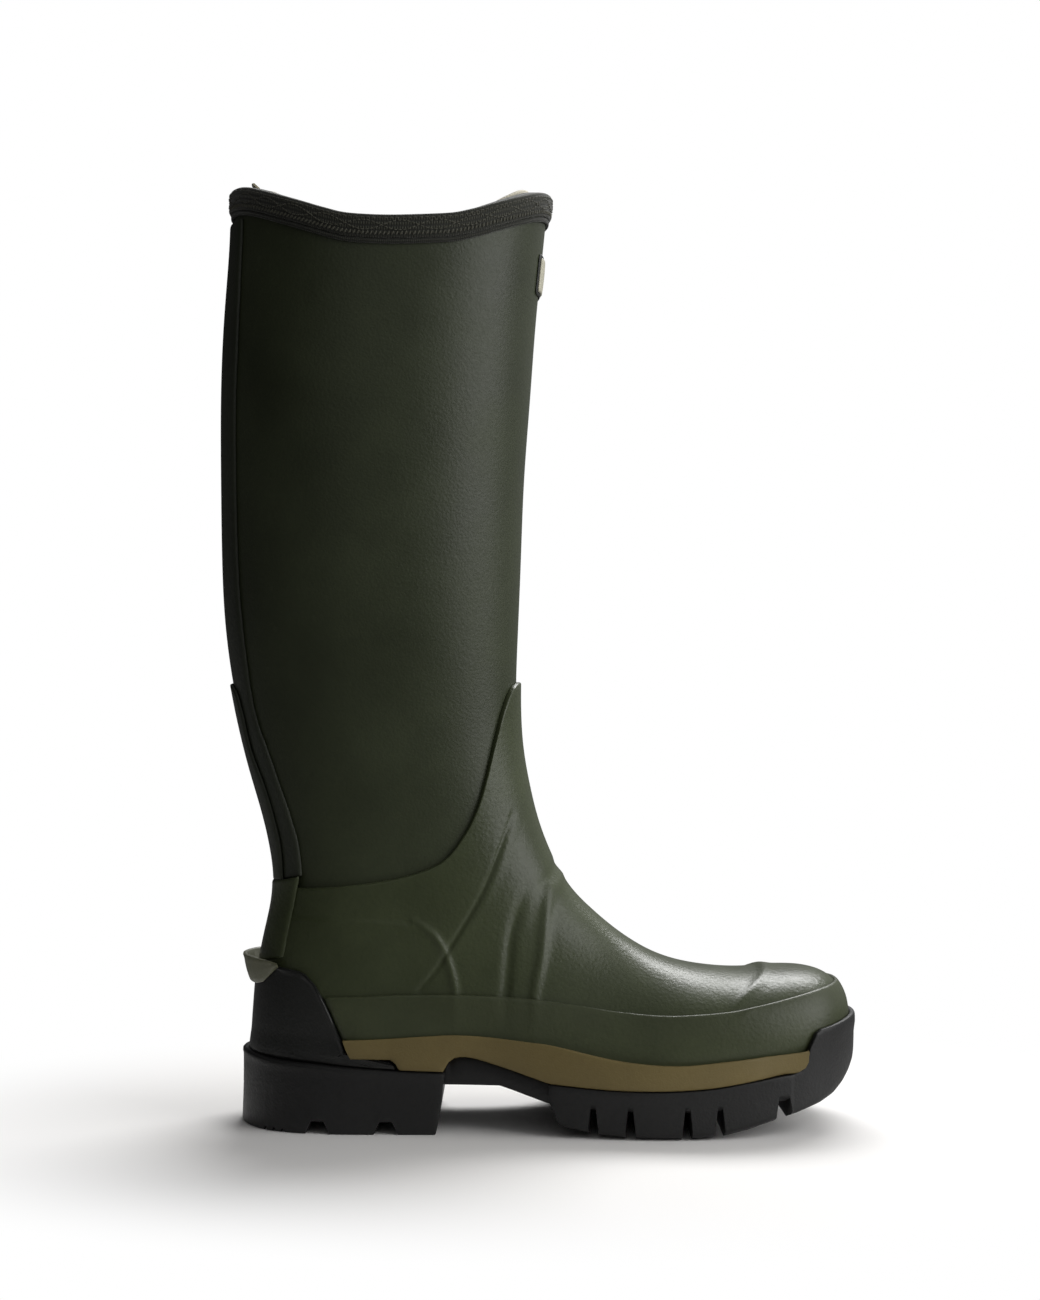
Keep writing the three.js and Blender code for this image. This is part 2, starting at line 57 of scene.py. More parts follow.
# %% Slices of the last
# back x, back z, front x, front z, half width outside, half width inside, squareness
SLICES = np.array([
    (-139.8, 438, 6.0, 438, 55.5, 55.5, 2.1),
    (-139.8, 404, 2.8, 404, 55.5, 55.5, 2.1),
    (-142.4, 367, -0.9, 367, 55, 55, 2.1),
    (-143.9, 330, -3.7, 330, 54, 54, 2.1),
    (-143.9, 293, -6.4, 293, 52, 52, 2.1),
    (-143.4, 256, -7.9, 256, 49.5, 49.5, 2.1),
    (-141.8, 226, -9.2, 224, 46.5, 46.5, 2.15),
    (-137.6, 196, -10.0, 202, 43.5, 43.2, 2.2),
    (-130.6, 165, -9.9, 183, 40.5, 40, 2.25),
    (-123.4, 140, -8.4, 166, 38.5, 38, 2.3),
    (-118.7, 116, -5.2, 149, 37, 36.5, 2.35),
    (-119.5, 97, -1.2, 134, 36, 35.5, 2.4),
    (-123.9, 76, 5.0, 118.5, 35.4, 35, 2.5),
    (-126.3, 52, 13.0, 104.8, 35.2, 34.8, 2.6),
    (-126.8, 29, 23.0, 94.2, 35.4, 34.6, 2.7),
    (-118, 8, 35.5, 83.8, 36.2, 34.6, 2.7),
    (-88, 2, 50, 74.8, 38, 35.2, 2.7),
    (-48, 0, 64, 69.7, 41, 37.5, 2.6),
    (-4, 0, 78, 67.2, 45, 41, 2.5),
    (35, 0, 92, 66.2, 47.5, 44.5, 2.5),
    (68, 1, 105, 66.8, 46, 45, 2.45),
    (93, 4, 117, 67.1, 41.5, 42, 2.4),
    (110, 9.5, 126, 65.9, 36, 37.5, 2.35),
    (122, 17.5, 132.6, 62.8, 28.2, 29.8, 2.3),
    (130.6, 27.5, 136.6, 57, 19, 20.5, 2.2),
    (136, 36, 138.3, 50, 9.8, 10.6, 2.1),
    (138.7, 43, 138.8, 43.2, 0.1, 0.1, 2.1),
])


def spline_slopes(values):
    """Slopes of a natural cubic spline through evenly spaced rows."""
    count = len(values)
    system = np.zeros((count, count))
    right = np.zeros_like(values)
    system[0, :2] = 2, 1
    system[-1, -2:] = 1, 2
    right[0] = 3 * (values[1] - values[0])
    right[-1] = 3 * (values[-1] - values[-2])
    for i in range(1, count - 1):
        system[i, i - 1:i + 2] = 1, 4, 1
        right[i] = 3 * (values[i + 1] - values[i - 1])
    return np.linalg.solve(system, right)


SLOPES = spline_slopes(SLICES)


def slice_at(t):
    """The slice at t, from 0 at the rim to 1 at the toe."""
    place = np.clip(t, 0, 1) * (len(SLICES) - 1)
    i = np.minimum(place.astype(int), len(SLICES) - 2)
    u = (place - i)[..., None]
    a, b, da, db = SLICES[i], SLICES[i + 1], SLOPES[i], SLOPES[i + 1]
    return (a * (1 + 2 * u) * (1 - u) ** 2 + da * u * (1 - u) ** 2
            + b * u * u * (3 - 2 * u) - db * u * u * (1 - u))


def bare_point(t, angle):
    """A point of the last in millimetres; angle 0 is the front or top, going round by the outside."""
    t, angle = np.broadcast_arrays(np.asarray(t, float), np.asarray(angle, float))
    s = slice_at(t)
    c, n = np.cos(angle), s[..., 6]
    d = np.sin(angle)
    swell = (np.abs(c) ** n + np.abs(d) ** n) ** (-1 / n)
    width = np.maximum(np.where(d > 0, s[..., 4], s[..., 5]), 0.02)
    return np.stack([
        (s[..., 0] + s[..., 2]) / 2 + (s[..., 2] - s[..., 0]) * 0.5 * swell * c,
        -swell * d * width,
        (s[..., 1] + s[..., 3]) / 2 + (s[..., 3] - s[..., 1]) * 0.5 * swell * c,
    ], axis=-1)


def unit(v):
    """Vectors of length one."""
    return v / np.maximum(np.linalg.norm(v, axis=-1, keepdims=True), 1e-9)


def last_normal(t, angle):
    """The direction straight out of the last, from two short steps over it."""
    t, angle = np.broadcast_arrays(np.asarray(t, float), np.asarray(angle, float))
    step = 0.003
    low, high = np.clip(t - step, 0, 1 - step), np.clip(t + step, step, 1 - step / 2)
    down = bare_point(high, angle) - bare_point(low, angle)
    around = bare_point(t, angle + 0.03) - bare_point(t, angle - 0.03)
    return unit(np.cross(around, down))


def last_point(t, angle, lift=0.0):
    """A point of the last pushed straight out by lift."""
    lift = np.asarray(lift, float)[..., None]
    return bare_point(t, angle) + last_normal(t, angle) * lift


print("last: calf width", round(float(np.ptp(bare_point(0.1, np.linspace(0, 6.28, 90))[:, 1])), 1), "mm")

# %% [markdown]
# ## How thick each layer is
# A real boot is built up in layers on the last, and each layer lies on the one before. The lifts could be
# read off each solid, but one table keeps the layers from crossing each other.

# %% Layers
# Lift of the inside and of the outside of each layer over the form, in millimetres.
LEG_LAYER = (-2.4, 0.0)
LINING_LAYER = (-6.2, -2.7)
FACING_LAYER = (-9.8, -8.6)
STAY_LAYER = (0.3, 1.8)
SPINE_LAYER = (2.1, 3.4)
SHELL_INSIDE, SHELL_THICK = 0.3, 2.0
HEEL_STRIP_LAYER = (2.6, 3.9)
GUARD_LAYER = (2.6, 4.2)
CUP_LAYER = (2.6, 4.6)
SOCK_INSIDE = -6.2
LEG_TOP_DROP = 2.2      # the leg and its lining end this far below the rim, inside the fold of the webbing
FACING_HEIGHT = 30      # the pale band reaches this far down inside
STRIP_END = 109.8       # height at which the stay and the spine strip end, just over the heel strip
GUARD_COVER = 6.5       # the foot shell goes on this far under the mudguard
TOE_LIFT = 7.0          # the toe cap stands this far off the form
SOLE_BEVEL = 0.45       # width of the bevel on the heel block and the outsole
print("outermost layer of the foot:", CUP_LAYER[1], "mm over the form")

# %% [markdown]
# ## Lines seen from the side
# The seams, the rim and the sole edges are drawn once, as they look from the side of the boot. A few
# points with a Catmull-Rom curve through them give a line that is easy to correct, and every piece that
# meets at a seam reads the same line.

# %% Side lines
def smooth_line(pairs, steps=10):
    """A dense line through the points, with even Catmull-Rom curves between them."""
    p = np.array(pairs, float)
    p = np.vstack([p[:1], p, p[-1:]])
    u = np.linspace(0, 1, steps, endpoint=False)[:, None]
    out = []
    for i in range(1, len(p) - 2):
        a, b = (p[i + 1] - p[i - 1]) / 2, (p[i + 2] - p[i]) / 2
        out.append((2 * p[i] - 2 * p[i + 1] + a + b) * u ** 3
                   + (3 * p[i + 1] - 3 * p[i] - 2 * a - b) * u ** 2 + a * u + p[i])
    return np.vstack(out + [p[-1:]])


def z_on(line, x):
    return np.interp(x, line[:, 0], line[:, 1])


def x_on(line, z):
    return np.interp(z, line[:, 1], line[:, 0])


RIM = smooth_line([(-165, 425.2), (-146, 424.6), (-136, 424.0), (-129, 422.3), (-117, 417.6), (-105, 413.2),
                   (-94, 409.4), (-83, 406.6), (-64, 405.6), (-41, 407.0), (-30, 409.5), (-20, 413.2),
                   (-9, 417.8), (2, 422.6), (15, 425.6)])
SEAM = smooth_line([(-150, 110), (-122, 109), (-105, 108), (-79, 110.6), (-58.6, 114.4), (-43.4, 120.6),
                    (-34, 131.8), (-28, 144), (-24, 158), (-20, 175.5), (-16.5, 189), (-12, 198.7),
                    (-4, 202), (10, 203)])
UNDERLAP = SEAM + (5.4, -7.2)
SEAT = smooth_line([(-160, 36), (-70, 36.2), (-36, 36.3), (-15, 34.6), (5, 32), (40, 29.5), (75, 30),
                    (100, 32.5), (120, 37), (145, 44)])
GUARD_TOP = smooth_line([(-150, 60), (-91, 60.3), (-62.6, 61.6), (-34, 61.5), (-6, 59.4), (16.6, 56),
                         (35, 52.9), (54, 51.2), (70, 51.6), (88, 53.3), (107, 56.6), (125, 60),
                         (137, 62.1), (150, 64)])
MIDSOLE_TOP = smooth_line([(-150, 41), (-87, 41.5), (-53, 43.4), (-39, 44.2), (-25, 43.7), (-6, 41.8),
                           (6, 40.5), (22, 37), (35, 34.5), (50, 32.9), (64.5, 32.7), (79, 33.9),
                           (107, 36.7), (119.5, 39.2), (150, 44)])
OUTSOLE_TOP = smooth_line([(4.5, 23.3), (29.5, 21.5), (53.6, 21.2), (75.5, 22.3), (94, 25), (106.4, 27),
                           (112.8, 27.6)])
BLOCK_TOP = smooth_line([(-160, 34.6), (-136, 33.8), (-118, 31.7), (-99, 30.6), (-84, 29.4), (-63, 28.2),
                         (-42.5, 27.6), (-20, 27)])
ARCH = smooth_line([(-41.6, 27.6), (-40.8, 31), (-36.7, 34), (-29, 33.8), (-15, 29.7), (-5.6, 26.6),
                    (4.5, 23.3)])
STAY_EDGE = smooth_line([(-105.9, 100), (-105.9, 110.6), (-107.2, 126), (-111.3, 140.9), (-116.7, 156.3),
                         (-121.7, 170.7), (-127.6, 188.5), (-132, 219.5), (-134.8, 255.5),
                         (-135.7, 318.5), (-134.3, 359), (-132.5, 409), (-132, 440)])
SPINE_EDGE = smooth_line([(-113.6, 100), (-113.8, 112.2), (-114.7, 125.9), (-117.9, 140.4), (-122.4, 155),
                          (-128.3, 170.4), (-132.4, 188.2), (-137, 199), (-150, 204.5)])
HEEL_STRIP_EDGE = np.array([(-113.9, 60), (-113.7, 73.3), (-112.8, 77.9), (-110.6, 88.7), (-108, 100.9),
                            (-106, 112)])
# The heel cup's front edge from low to high.
CUP_EDGE = np.array([(-62.6, 26), (-63.2, 29), (-64, 31.6), (-66, 32.7), (-84, 33.9), (-89, 44.3),
                     (-96, 60), (-99.8, 66.5), (-103, 69.6), (-107.5, 71.3), (-118, 72.4)])
TOE_CAP_TOP = np.array([(112.8, 27.6), (116.8, 29.4), (118.8, 31.6), (120.3, 38.5), (121.5, 41),
                        (123.4, 44.9), (125.6, 46.4), (135.4, 48.3), (142.1, 49.8), (160, 51)])
TREAD = np.array([(4.4, 14.2), (4.4, 12), (3.2, 10), (6, 6), (12, 3.6), (28, 1), (45, 0), (70, 0),
                  (81, 1), (92, 3.3), (103, 6.5), (117, 9.8), (126, 12.5), (133, 15.5), (137.5, 19),
                  (141, 23), (143.5, 27), (145.9, 36)])
print("rim dips to", round(float(RIM[:, 1].min()), 1), "mm")

# %% [markdown]
# ## Where a line meets the form
# Each column of a piece runs down the form from one side line to another. Halving the step again and again
# finds the place where a column crosses a line, which gives seams that are exact and meshes made of clean
# quads. Rows are then spaced by true distance, so that the edges can be rolled over in a few small steps.

# %% Crossings, rows and rolled edges
def find_t(angle, field, low=0.0, high=1.0):
    """For each angle, the first t after low where field(point) turns negative."""
    ts = np.linspace(low, high, 260)
    hit = np.maximum(np.argmax(field(bare_point(ts[:, None], angle[None, :])) < 0, axis=0), 1)
    a, b = ts[hit - 1], ts[hit]
    for _ in range(22):
        mid = (a + b) / 2
        under = field(bare_point(mid, angle)) < 0
        a, b = np.where(under, a, mid), np.where(under, mid, b)
    return (a + b) / 2


def under(line, drop=0.0):
    """A field that is negative under a side line, lowered by drop millimetres."""
    return lambda p: p[..., 2] - z_on(line, p[..., 0]) + drop


# Distance in from an edge, and the share of the thickness that the surface has there.
ROLL = [(0.0, 0.3), (0.1, 0.66), (0.35, 0.9), (0.8, 1.0)]


def rows_along(t0, a0, t1, a1, count):
    """t, angle and share of thickness for rows spaced by true distance; columns may slant in t and angle."""
    fine = np.linspace(0, 1, 160)[:, None]
    run = bare_point(t0 + (t1 - t0) * fine, a0 + (a1 - a0) * fine)
    length = np.vstack([np.zeros(len(t0)), np.cumsum(np.linalg.norm(np.diff(run, axis=0), axis=-1), 0)])
    near = np.array([d for d, _ in ROLL])[:, None]
    middle = np.linspace(0, 1, count + 2)[1:-1, None]
    total, last = length[-1], near[-1, 0]
    want = np.vstack([near + 0 * total, last + (total - 2 * last) * middle, (total - near)[::-1]])
    part = np.stack([np.interp(want[:, j], length[:, j], fine[:, 0]) for j in range(len(t0))], axis=1)
    share = [s for _, s in ROLL]
    return t0 + (t1 - t0) * part, a0 + (a1 - a0) * part, np.array(share + [1.0] * count + share[::-1])


print("seam at the back:", bare_point(find_t(np.array([math.pi]), under(SEAM), 0.2), math.pi).round(1))

# %% [markdown]
# ## Level outlines of the foot
# The mudguard, the heel cup and the toe cap follow level lines round the foot, not the slices. A
# table of level outlines holds, for each height and each place round the foot, which slice and which
# angle give that point. Places run from 0 at the heel along the outer side to 1 at the toe, and back along
# the inner side to 2.

# %% Table of level outlines
LEVELS = np.arange(8.0, 112.0, 1.0)
PLACES = np.linspace(0, 1, 241)


def outline_row(z):
    """t and angle at even places along the outline at height z."""
    t = np.linspace(0.3, 1, 4000)
    s = slice_at(t)
    inside = (s[:, 1] <= z) & (s[:, 3] >= z)
    ts = t[inside]
    # Close in on both ends of the run of slices that reach this height.
    ends = []
    for a, b in ((ts[0] - (t[1] - t[0]), ts[0]), (ts[-1] + (t[1] - t[0]), ts[-1])):
        for _ in range(30):
            m = (a + b) / 2
            sm = slice_at(np.array([m]))[0]
            a, b = (a, m) if sm[1] <= z <= sm[3] else (m, b)
        ends.append(b)
    t = ends[0] + (ends[1] - ends[0]) * (1 - np.cos(np.linspace(0, np.pi, 700))) / 2
    s = slice_at(t)
    middle, half = (s[:, 1] + s[:, 3]) / 2, np.maximum((s[:, 3] - s[:, 1]) / 2, 1e-6)
    c = np.clip((z - middle) / half, -1, 1)
    n = s[:, 6]
    side = (1 - np.abs(c) ** n) ** (1 / n)
    x = (s[:, 0] + s[:, 2]) / 2 + (s[:, 2] - s[:, 0]) / 2 * c
    y = side * (s[:, 4] + s[:, 5]) / 2
    run = np.concatenate([[0], np.cumsum(np.hypot(np.diff(x), np.diff(y)))])
    angle = np.arctan2(side, c)
    want = PLACES * run[-1]
    return np.interp(want, run, t), np.interp(want, run, angle)


TABLE_T, TABLE_A = (np.array(rows) for rows in zip(*[outline_row(z) for z in LEVELS]))


def from_table(table, z, u):
    """A value of the table between its heights and places."""
    i = np.clip((z - LEVELS[0]), 0, len(LEVELS) - 1.001)
    j = np.clip(u, 0, 1) * (len(PLACES) - 1.001)
    i0, j0 = i.astype(int), j.astype(int)
    fi, fj = i - i0, j - j0
    return ((table[i0, j0] * (1 - fj) + table[i0, j0 + 1] * fj) * (1 - fi)
            + (table[i0 + 1, j0] * (1 - fj) + table[i0 + 1, j0 + 1] * fj) * fi)


def level_point(z, w, lift=0.0):
    """The point at height z and place w round the foot (0 heel, 1 toe, 2 heel again), pushed out by lift."""
    z, w = np.broadcast_arrays(np.asarray(z, float), np.asarray(w, float))
    u = np.where(w <= 1, w, 2 - w)
    t, angle = from_table(TABLE_T, z, u), from_table(TABLE_A, z, u)
    return last_point(t, np.where(w <= 1, angle, -angle), lift)


def place_at(x, z, lift=0.0):
    """The place on the outer side where the outline at height z passes x."""
    x, z = np.broadcast_arrays(np.asarray(x, float), np.asarray(z, float))
    a, b = np.zeros(x.shape), np.ones(x.shape)
    for _ in range(24):
        m = (a + b) / 2
        short = level_point(z, m, lift)[..., 0] < x
        a, b = np.where(short, m, a), np.where(short, b, m)
    return (a + b) / 2


print("toe at z 40:", level_point(40.0, 1.0, 7.0).round(1), "heel:", level_point(40.0, 0.0, 4.6).round(1))

# %% [markdown]
# ## From rows of points to closed meshes
# Every piece is a grid of points. A band closes on itself through its outside, its edge and its inside,
# and a slab is closed by rungs across its top and bottom. Each face also gets texture coordinates in
# metres along and across the piece, so that a weave keeps its size everywhere.

# %% Mesh builders
PIECES = {}
CRISP = math.radians(50)     # edges sharper than this are not smoothed over
BEVELLED = math.radians(38)  # edges of the sole sharper than this are bevelled


def make_mesh(name, points, quads, uvs):
    mesh = bpy.data.meshes.new(name)
    mesh.from_pydata([tuple(p) for p in points * MM], [], [tuple(q) for q in quads])
    layer = mesh.uv_layers.new(name="UVMap")
    layer.data.foreach_set("uv", np.asarray(uvs, np.float32).ravel() * MM)
    bm = bmesh.new()
    bm.from_mesh(mesh)
    bmesh.ops.remove_doubles(bm, verts=bm.verts, dist=3e-6)
    bmesh.ops.dissolve_degenerate(bm, dist=2e-6, edges=bm.edges)
    bmesh.ops.recalc_face_normals(bm, faces=bm.faces)
    if bm.calc_volume(signed=True) < 0:
        bmesh.ops.reverse_faces(bm, faces=bm.faces)
    bm.to_mesh(mesh)
    bm.free()
    obj = bpy.data.objects.new(name, mesh)
    bpy.context.scene.collection.objects.link(obj)
    shade(obj)
    PIECES[name] = obj
    return obj


def shade(obj):
    obj.data.shade_smooth()
    obj.data.set_sharp_from_angle(angle=CRISP)


def along(points, axis):
    """Running length along one axis of a grid, taken at its middle line."""
    step = np.linalg.norm(np.diff(points, axis=axis), axis=-1)
    return np.concatenate([[0], np.cumsum(step.mean(axis=1 - axis))])


def grid_quads(grid, close_rows, close_columns):
    """Faces of a grid as point numbers, with texture coordinates in running length."""
    rows, cols = grid.shape[:2]
    i = np.arange(rows if close_rows else rows - 1)[:, None]
    j = np.arange(cols if close_columns else cols - 1)[None, :]
    i2, j2 = (i + 1) % rows, (j + 1) % cols
    quads = np.stack(np.broadcast_arrays(i * cols + j, i * cols + j2, i2 * cols + j2, i2 * cols + j), -1)
    u = along(np.concatenate([grid, grid[:, :1]], axis=1) if close_columns else grid, 1)
    v = along(np.concatenate([grid, grid[:1]]) if close_rows else grid, 0)
    uvs = np.stack([np.stack(np.broadcast_arrays(u[j + a], v[i + b]), -1)
                    for a, b in ((0, 0), (1, 0), (1, 1), (0, 1))], axis=2)
    return quads.reshape(-1, 4), uvs.reshape(-1, 4, 2)


def rungs(loop):
    """Faces across a closed loop of point numbers, from its first half to its second."""
    n = len(loop)
    return np.array([(loop[k], loop[k + 1], loop[n - 2 - k], loop[n - 1 - k]) for k in range(n // 2 - 1)])


def from_grid(name, grid, close_rows, close_columns):
    """A mesh from a grid; where the grid is closed only one way, rungs close its first and last loop."""
    quads, uvs = grid_quads(grid, close_rows, close_columns)
    points = grid.reshape(-1, 3)
    numbers = np.arange(len(points)).reshape(grid.shape[:2])
    loops = []
    if not close_columns:
        loops = [numbers[:, 0], numbers[:, -1]]
    elif not close_rows:
        loops = [numbers[0], numbers[-1]]
    for loop in loops:
        cap = rungs(loop)
        quads, uvs = np.vstack([quads, cap]), np.vstack([uvs, points[cap][..., :2]])
    return make_mesh(name, points, quads, uvs)


def band(name, outer, inner, closed=True):
    """A band with an outside and an inside grid, all the way round or with two closed ends."""
    return from_grid(name, np.concatenate([outer, inner[::-1]]), True, closed)


def slab(name, grid):
    """Rings of points from top to bottom, closed across the first and the last ring."""
    return from_grid(name, grid, False, True)


def soften(obj):
    """Round the hard edges of a sole piece with a bevel and keep the result as a plain mesh."""
    bevel = obj.modifiers.new("bevel", "BEVEL")
    bevel.width = SOLE_BEVEL * MM
    bevel.segments = 2
    bevel.limit_method = "ANGLE"
    bevel.angle_limit = BEVELLED
    bevel.use_clamp_overlap = True
    keep_evaluated(obj)
    shade(obj)
    return obj


def keep_evaluated(obj):
    """Turn what the modifiers give into the object's own mesh."""
    result = bpy.data.meshes.new_from_object(obj.evaluated_get(bpy.context.evaluated_depsgraph_get()))
    obj.modifiers.clear()
    obj.data = result
    result.name = obj.name


print("mesh builders ready")

# %% [markdown]
# ## The leg
# The leg shell is one sheet of rubber from under the rim to behind the foot. It could be modelled as a
# tube and sculpted, but laying it on the form keeps the calf, the ankle and the seam in agreement with
# the frame. The lining is the same band further in.

# %% Leg shell and lining
LEG_ANGLES = np.linspace(0, 2 * np.pi, 176, endpoint=False)


def ring_band(name, top, bottom, layer, count, inner_count, angles=LEG_ANGLES):
    """A full ring between two fields, as thick as its layer."""
    lift_in, lift_out = layer
    t_top, t_bottom = find_t(angles, top), find_t(angles, bottom)
    rows, _, share = rows_along(t_top, angles, t_bottom, angles, count)
    outer = last_point(rows, angles[None, :], lift_in + (lift_out - lift_in) * share[:, None])
    rows, _, _ = rows_along(t_top, angles, t_bottom, angles, inner_count)
    return band(name, outer, last_point(rows, angles[None, :], lift_in))


leg = ring_band("leg_rubber", under(RIM, LEG_TOP_DROP), under(UNDERLAP), LEG_LAYER, 110, 40)
ring_band("leg_neoprene", under(RIM, LEG_TOP_DROP), under(UNDERLAP), LINING_LAYER, 40, 90)
print("leg faces:", len(leg.data.polygons))

# %% [markdown]
# ## Back stay and spine strips
# A stay of rubber covers the back seam, with a narrower strip on it near the ankle and another under the
# seam. Each row reaches round to both sides as far as the side line says, so the strips taper by
# themselves where the line runs off the back of the leg.

# %% Strips down the back
def back_strip(name, edge, z_top, z_bottom, layer, count):
    """A strip on the back of the form that ends, on both sides, where x reaches the edge line."""
    lift_in, lift_out = layer
    heights = np.concatenate([[z_top, z_top - 0.15, z_top - 0.5, z_top - 1.2],
                              np.linspace(z_top - 1.2, z_bottom + 1.2, count)[1:-1],
                              [z_bottom + 1.2, z_bottom + 0.5, z_bottom + 0.15, z_bottom]])
    row_share = np.array([0.3, 0.7, 0.93] + [1.0] * (len(heights) - 6) + [0.93, 0.7, 0.3])
    t = np.array([find_t(np.array([np.pi]), lambda p, z=z: p[..., 2] - z, 0.0)[0] for z in heights])
    reach = np.linspace(0.02, 1.6, 400)
    rounds = bare_point(t[:, None], np.pi - reach[None, :])
    short = rounds[..., 0] < x_on(edge, rounds[..., 2])
    widest = reach[np.maximum(short.sum(axis=1) - 1, 0)]
    across_share = np.array([-1, -0.985, -0.95, -0.9, -0.75, -0.5, -0.25, 0])
    across_share = np.concatenate([across_share, -across_share[-2::-1]])
    column_share = np.array([0.3, 0.75, 0.95] + [1.0] * (len(across_share) - 6) + [0.95, 0.75, 0.3])
    angle = np.pi + widest[:, None] * across_share[None, :]
    share = np.minimum(row_share[:, None], column_share[None, :])
    outer = last_point(t[:, None], angle, lift_in + (lift_out - lift_in) * share)
    return band(name, outer, last_point(t[:, None], angle, lift_in), closed=False)


back_strip("back_stay_rubber", STAY_EDGE, 409.0, STRIP_END, STAY_LAYER, 90)
back_strip("spine_strip_rubber", SPINE_EDGE, 200.0, STRIP_END, SPINE_LAYER, 40)
print("strips made:", sorted(PIECES))

# %% [markdown]
# ## The foot shell and its relief
# The foot is one moulded shell. Folds from the mould show at the instep, the stiffener in the heel makes a
# low round bump, and the toe puff ends in a soft ridge. These are drawn as lines on the side view with a
# height and a width, and they lift or sink the surface near each line, as a sculptor's crease brush would.

# %% Relief lines on the foot
# Each line: points in X and Z, height in mm, half width in mm, and the share of the height at its two ends.
FOLDS = [
    ([(-13, 141), (-16.8, 129.5), (-23, 112.6), (-29.2, 99.7), (-40.3, 81.5), (-45.2, 73), (-53.3, 63.2)],
     -0.7, 1.1, 0.55, 0.6),
    ([(-10.4, 140), (-14, 129.5), (-20, 112.6), (-26, 99.7), (-37, 82.5)], 0.3, 2.2, 0.3, 0.4),
    ([(-55.5, 94.4), (-48.4, 89.5), (-43.5, 83.3), (-40.3, 76.1), (-38.1, 68.1), (-37.2, 61.9),
      (-37.2, 46)], 1.15, 1.8, 0.35, 0.6),
    ([(-6.1, 107.7), (-10.1, 96.6), (-12.8, 85.5), (-14.1, 69.9), (-15, 59.2), (-15, 46)],
     -1.2, 2.6, 0.2, 0.3),
    ([(4.5, 106.5), (3.3, 101), (2.4, 93.5), (1, 77.5), (-1.6, 61.9), (-2.1, 44)], 1.25, 2.4, 0.6, 0.5),
    ([(11, 116.4), (9.5, 112), (6.4, 101.5)], 0.45, 1.5, 0.35, 0.2),
    ([(10, 122), (4, 112.5), (-2, 106)], -0.6, 2.0, 0.6, 0.1),
]
COUNTER_EDGE = np.array([(-160, 96), (-75, 96), (-62, 95.4), (-55.5, 94), (-48.4, 89.5), (-43.5, 83.3),
                         (-40.3, 76.1), (-38.1, 68.1), (-37.2, 61.9), (-37.2, 20)])
TOE_RIDGE = smooth_line([(84, 52), (88, 56), (93, 60), (98.5, 63.6), (104, 67.5), (108, 72)])


def near_line(p, line):
    """Distance in the side view to a line, and how far along the line the nearest point is (0 to 1)."""
    a, b = line[:-1], line[1:]
    step = b - a
    flat = p[..., [0, 2]][..., None, :]
    s = np.clip(((flat - a) * step).sum(-1) / (step ** 2).sum(-1), 0, 1)
    gap = np.linalg.norm(flat - (a + s[..., None] * step), axis=-1)
    k = gap.argmin(axis=-1)
    along_line = (k + np.take_along_axis(s, k[..., None], -1)[..., 0]) / len(a)
    return np.take_along_axis(gap, k[..., None], -1)[..., 0], along_line


def smooth_step(x, low, high):
    u = np.clip((x - low) / (high - low), 0, 1)
    return u * u * (3 - 2 * u)


def foot_relief(p):
    """Millimetres of lift over the plain foot shell at points p."""
    out = np.zeros(p.shape[:-1])
    for points, height, width, start, end in FOLDS:
        gap, s = near_line(p, smooth_line(points, 5))
        fade = (start + (1 - start) * smooth_step(s, 0, 0.3)) * (1 - (1 - end) * smooth_step(s, 0.65, 1))
        out += height * fade * np.exp(-(gap / width) ** 2)
    # The heel counter lifts everything behind its edge a little.
    below = p[..., 2] < z_on(COUNTER_EDGE[:6], p[..., 0])
    inside = below & (p[..., 0] < x_on(COUNTER_EDGE[::-1], p[..., 2]))
    gap, _ = near_line(p, COUNTER_EDGE)
    out += 0.35 * np.where(inside, smooth_step(gap, 0, 3), 0)
    # The toe puff is a step up towards the toe, sharpest over the top of the foot.
    ahead = p[..., 0] - x_on(TOE_RIDGE, p[..., 2])
    out += 0.9 * np.exp(-((ahead - 1.2) / 3.2) ** 2) * smooth_step(p[..., 2], 52, 62)
    out += 0.5 * smooth_step(ahead, -2.5, 1.5) * smooth_step(p[..., 2], 50, 60)
    return out


# %% [markdown]
# ## The foot shell itself
# The shell runs from the seam down to behind the mudguard. Straight columns of the form would bunch up where
# the instep turns into the toe, so each column starts at an even step along the seam and ends at an even
# step along the lower edge. That keeps the faces small enough for the folds to show.

# %% Foot shell
def foot_columns(count):
    """Start on the seam and end on the lower edge for each column, from the front to the back of one side."""
    share = np.linspace(0, 1, count)
    fine = np.linspace(0, np.pi, 721)
    seam = bare_point(find_t(fine, under(SEAM), 0.2), fine)
    run = np.concatenate([[0], np.cumsum(np.linalg.norm(np.diff(seam, axis=0), axis=-1))])
    start_angle = np.interp(share * run[-1], run, fine)
    z = np.full(count, 50.0)
    for _ in range(8):
        z = z_on(GUARD_TOP, level_point(z, 1 - share)[:, 0]) - GUARD_COVER
    return start_angle, from_table(TABLE_T, z, 1 - share), from_table(TABLE_A, z, 1 - share)


start_angle, end_t, end_angle = foot_columns(250)
start_angle = np.concatenate([start_angle, -start_angle[-2:0:-1]])
end_t = np.concatenate([end_t, end_t[-2:0:-1]])
end_angle = np.concatenate([end_angle, -end_angle[-2:0:-1]])
start_t = find_t(start_angle, under(SEAM), 0.2)
vamp_t, vamp_angle, vamp_share = rows_along(start_t, start_angle, end_t, end_angle, 150)
relief = foot_relief(bare_point(vamp_t, vamp_angle))
vamp_outer = last_point(vamp_t, vamp_angle, SHELL_INSIDE + (SHELL_THICK + relief) * vamp_share[:, None])
inner_t, inner_angle, _ = rows_along(start_t, start_angle, end_t, end_angle, 8)
vamp = band("foot_shell", vamp_outer, last_point(inner_t, inner_angle, SHELL_INSIDE))
print("foot shell faces:", len(vamp.data.polygons))
back_strip("heel_strip_rubber", HEEL_STRIP_EDGE, 109.7, 72.8, HEEL_STRIP_LAYER, 24)

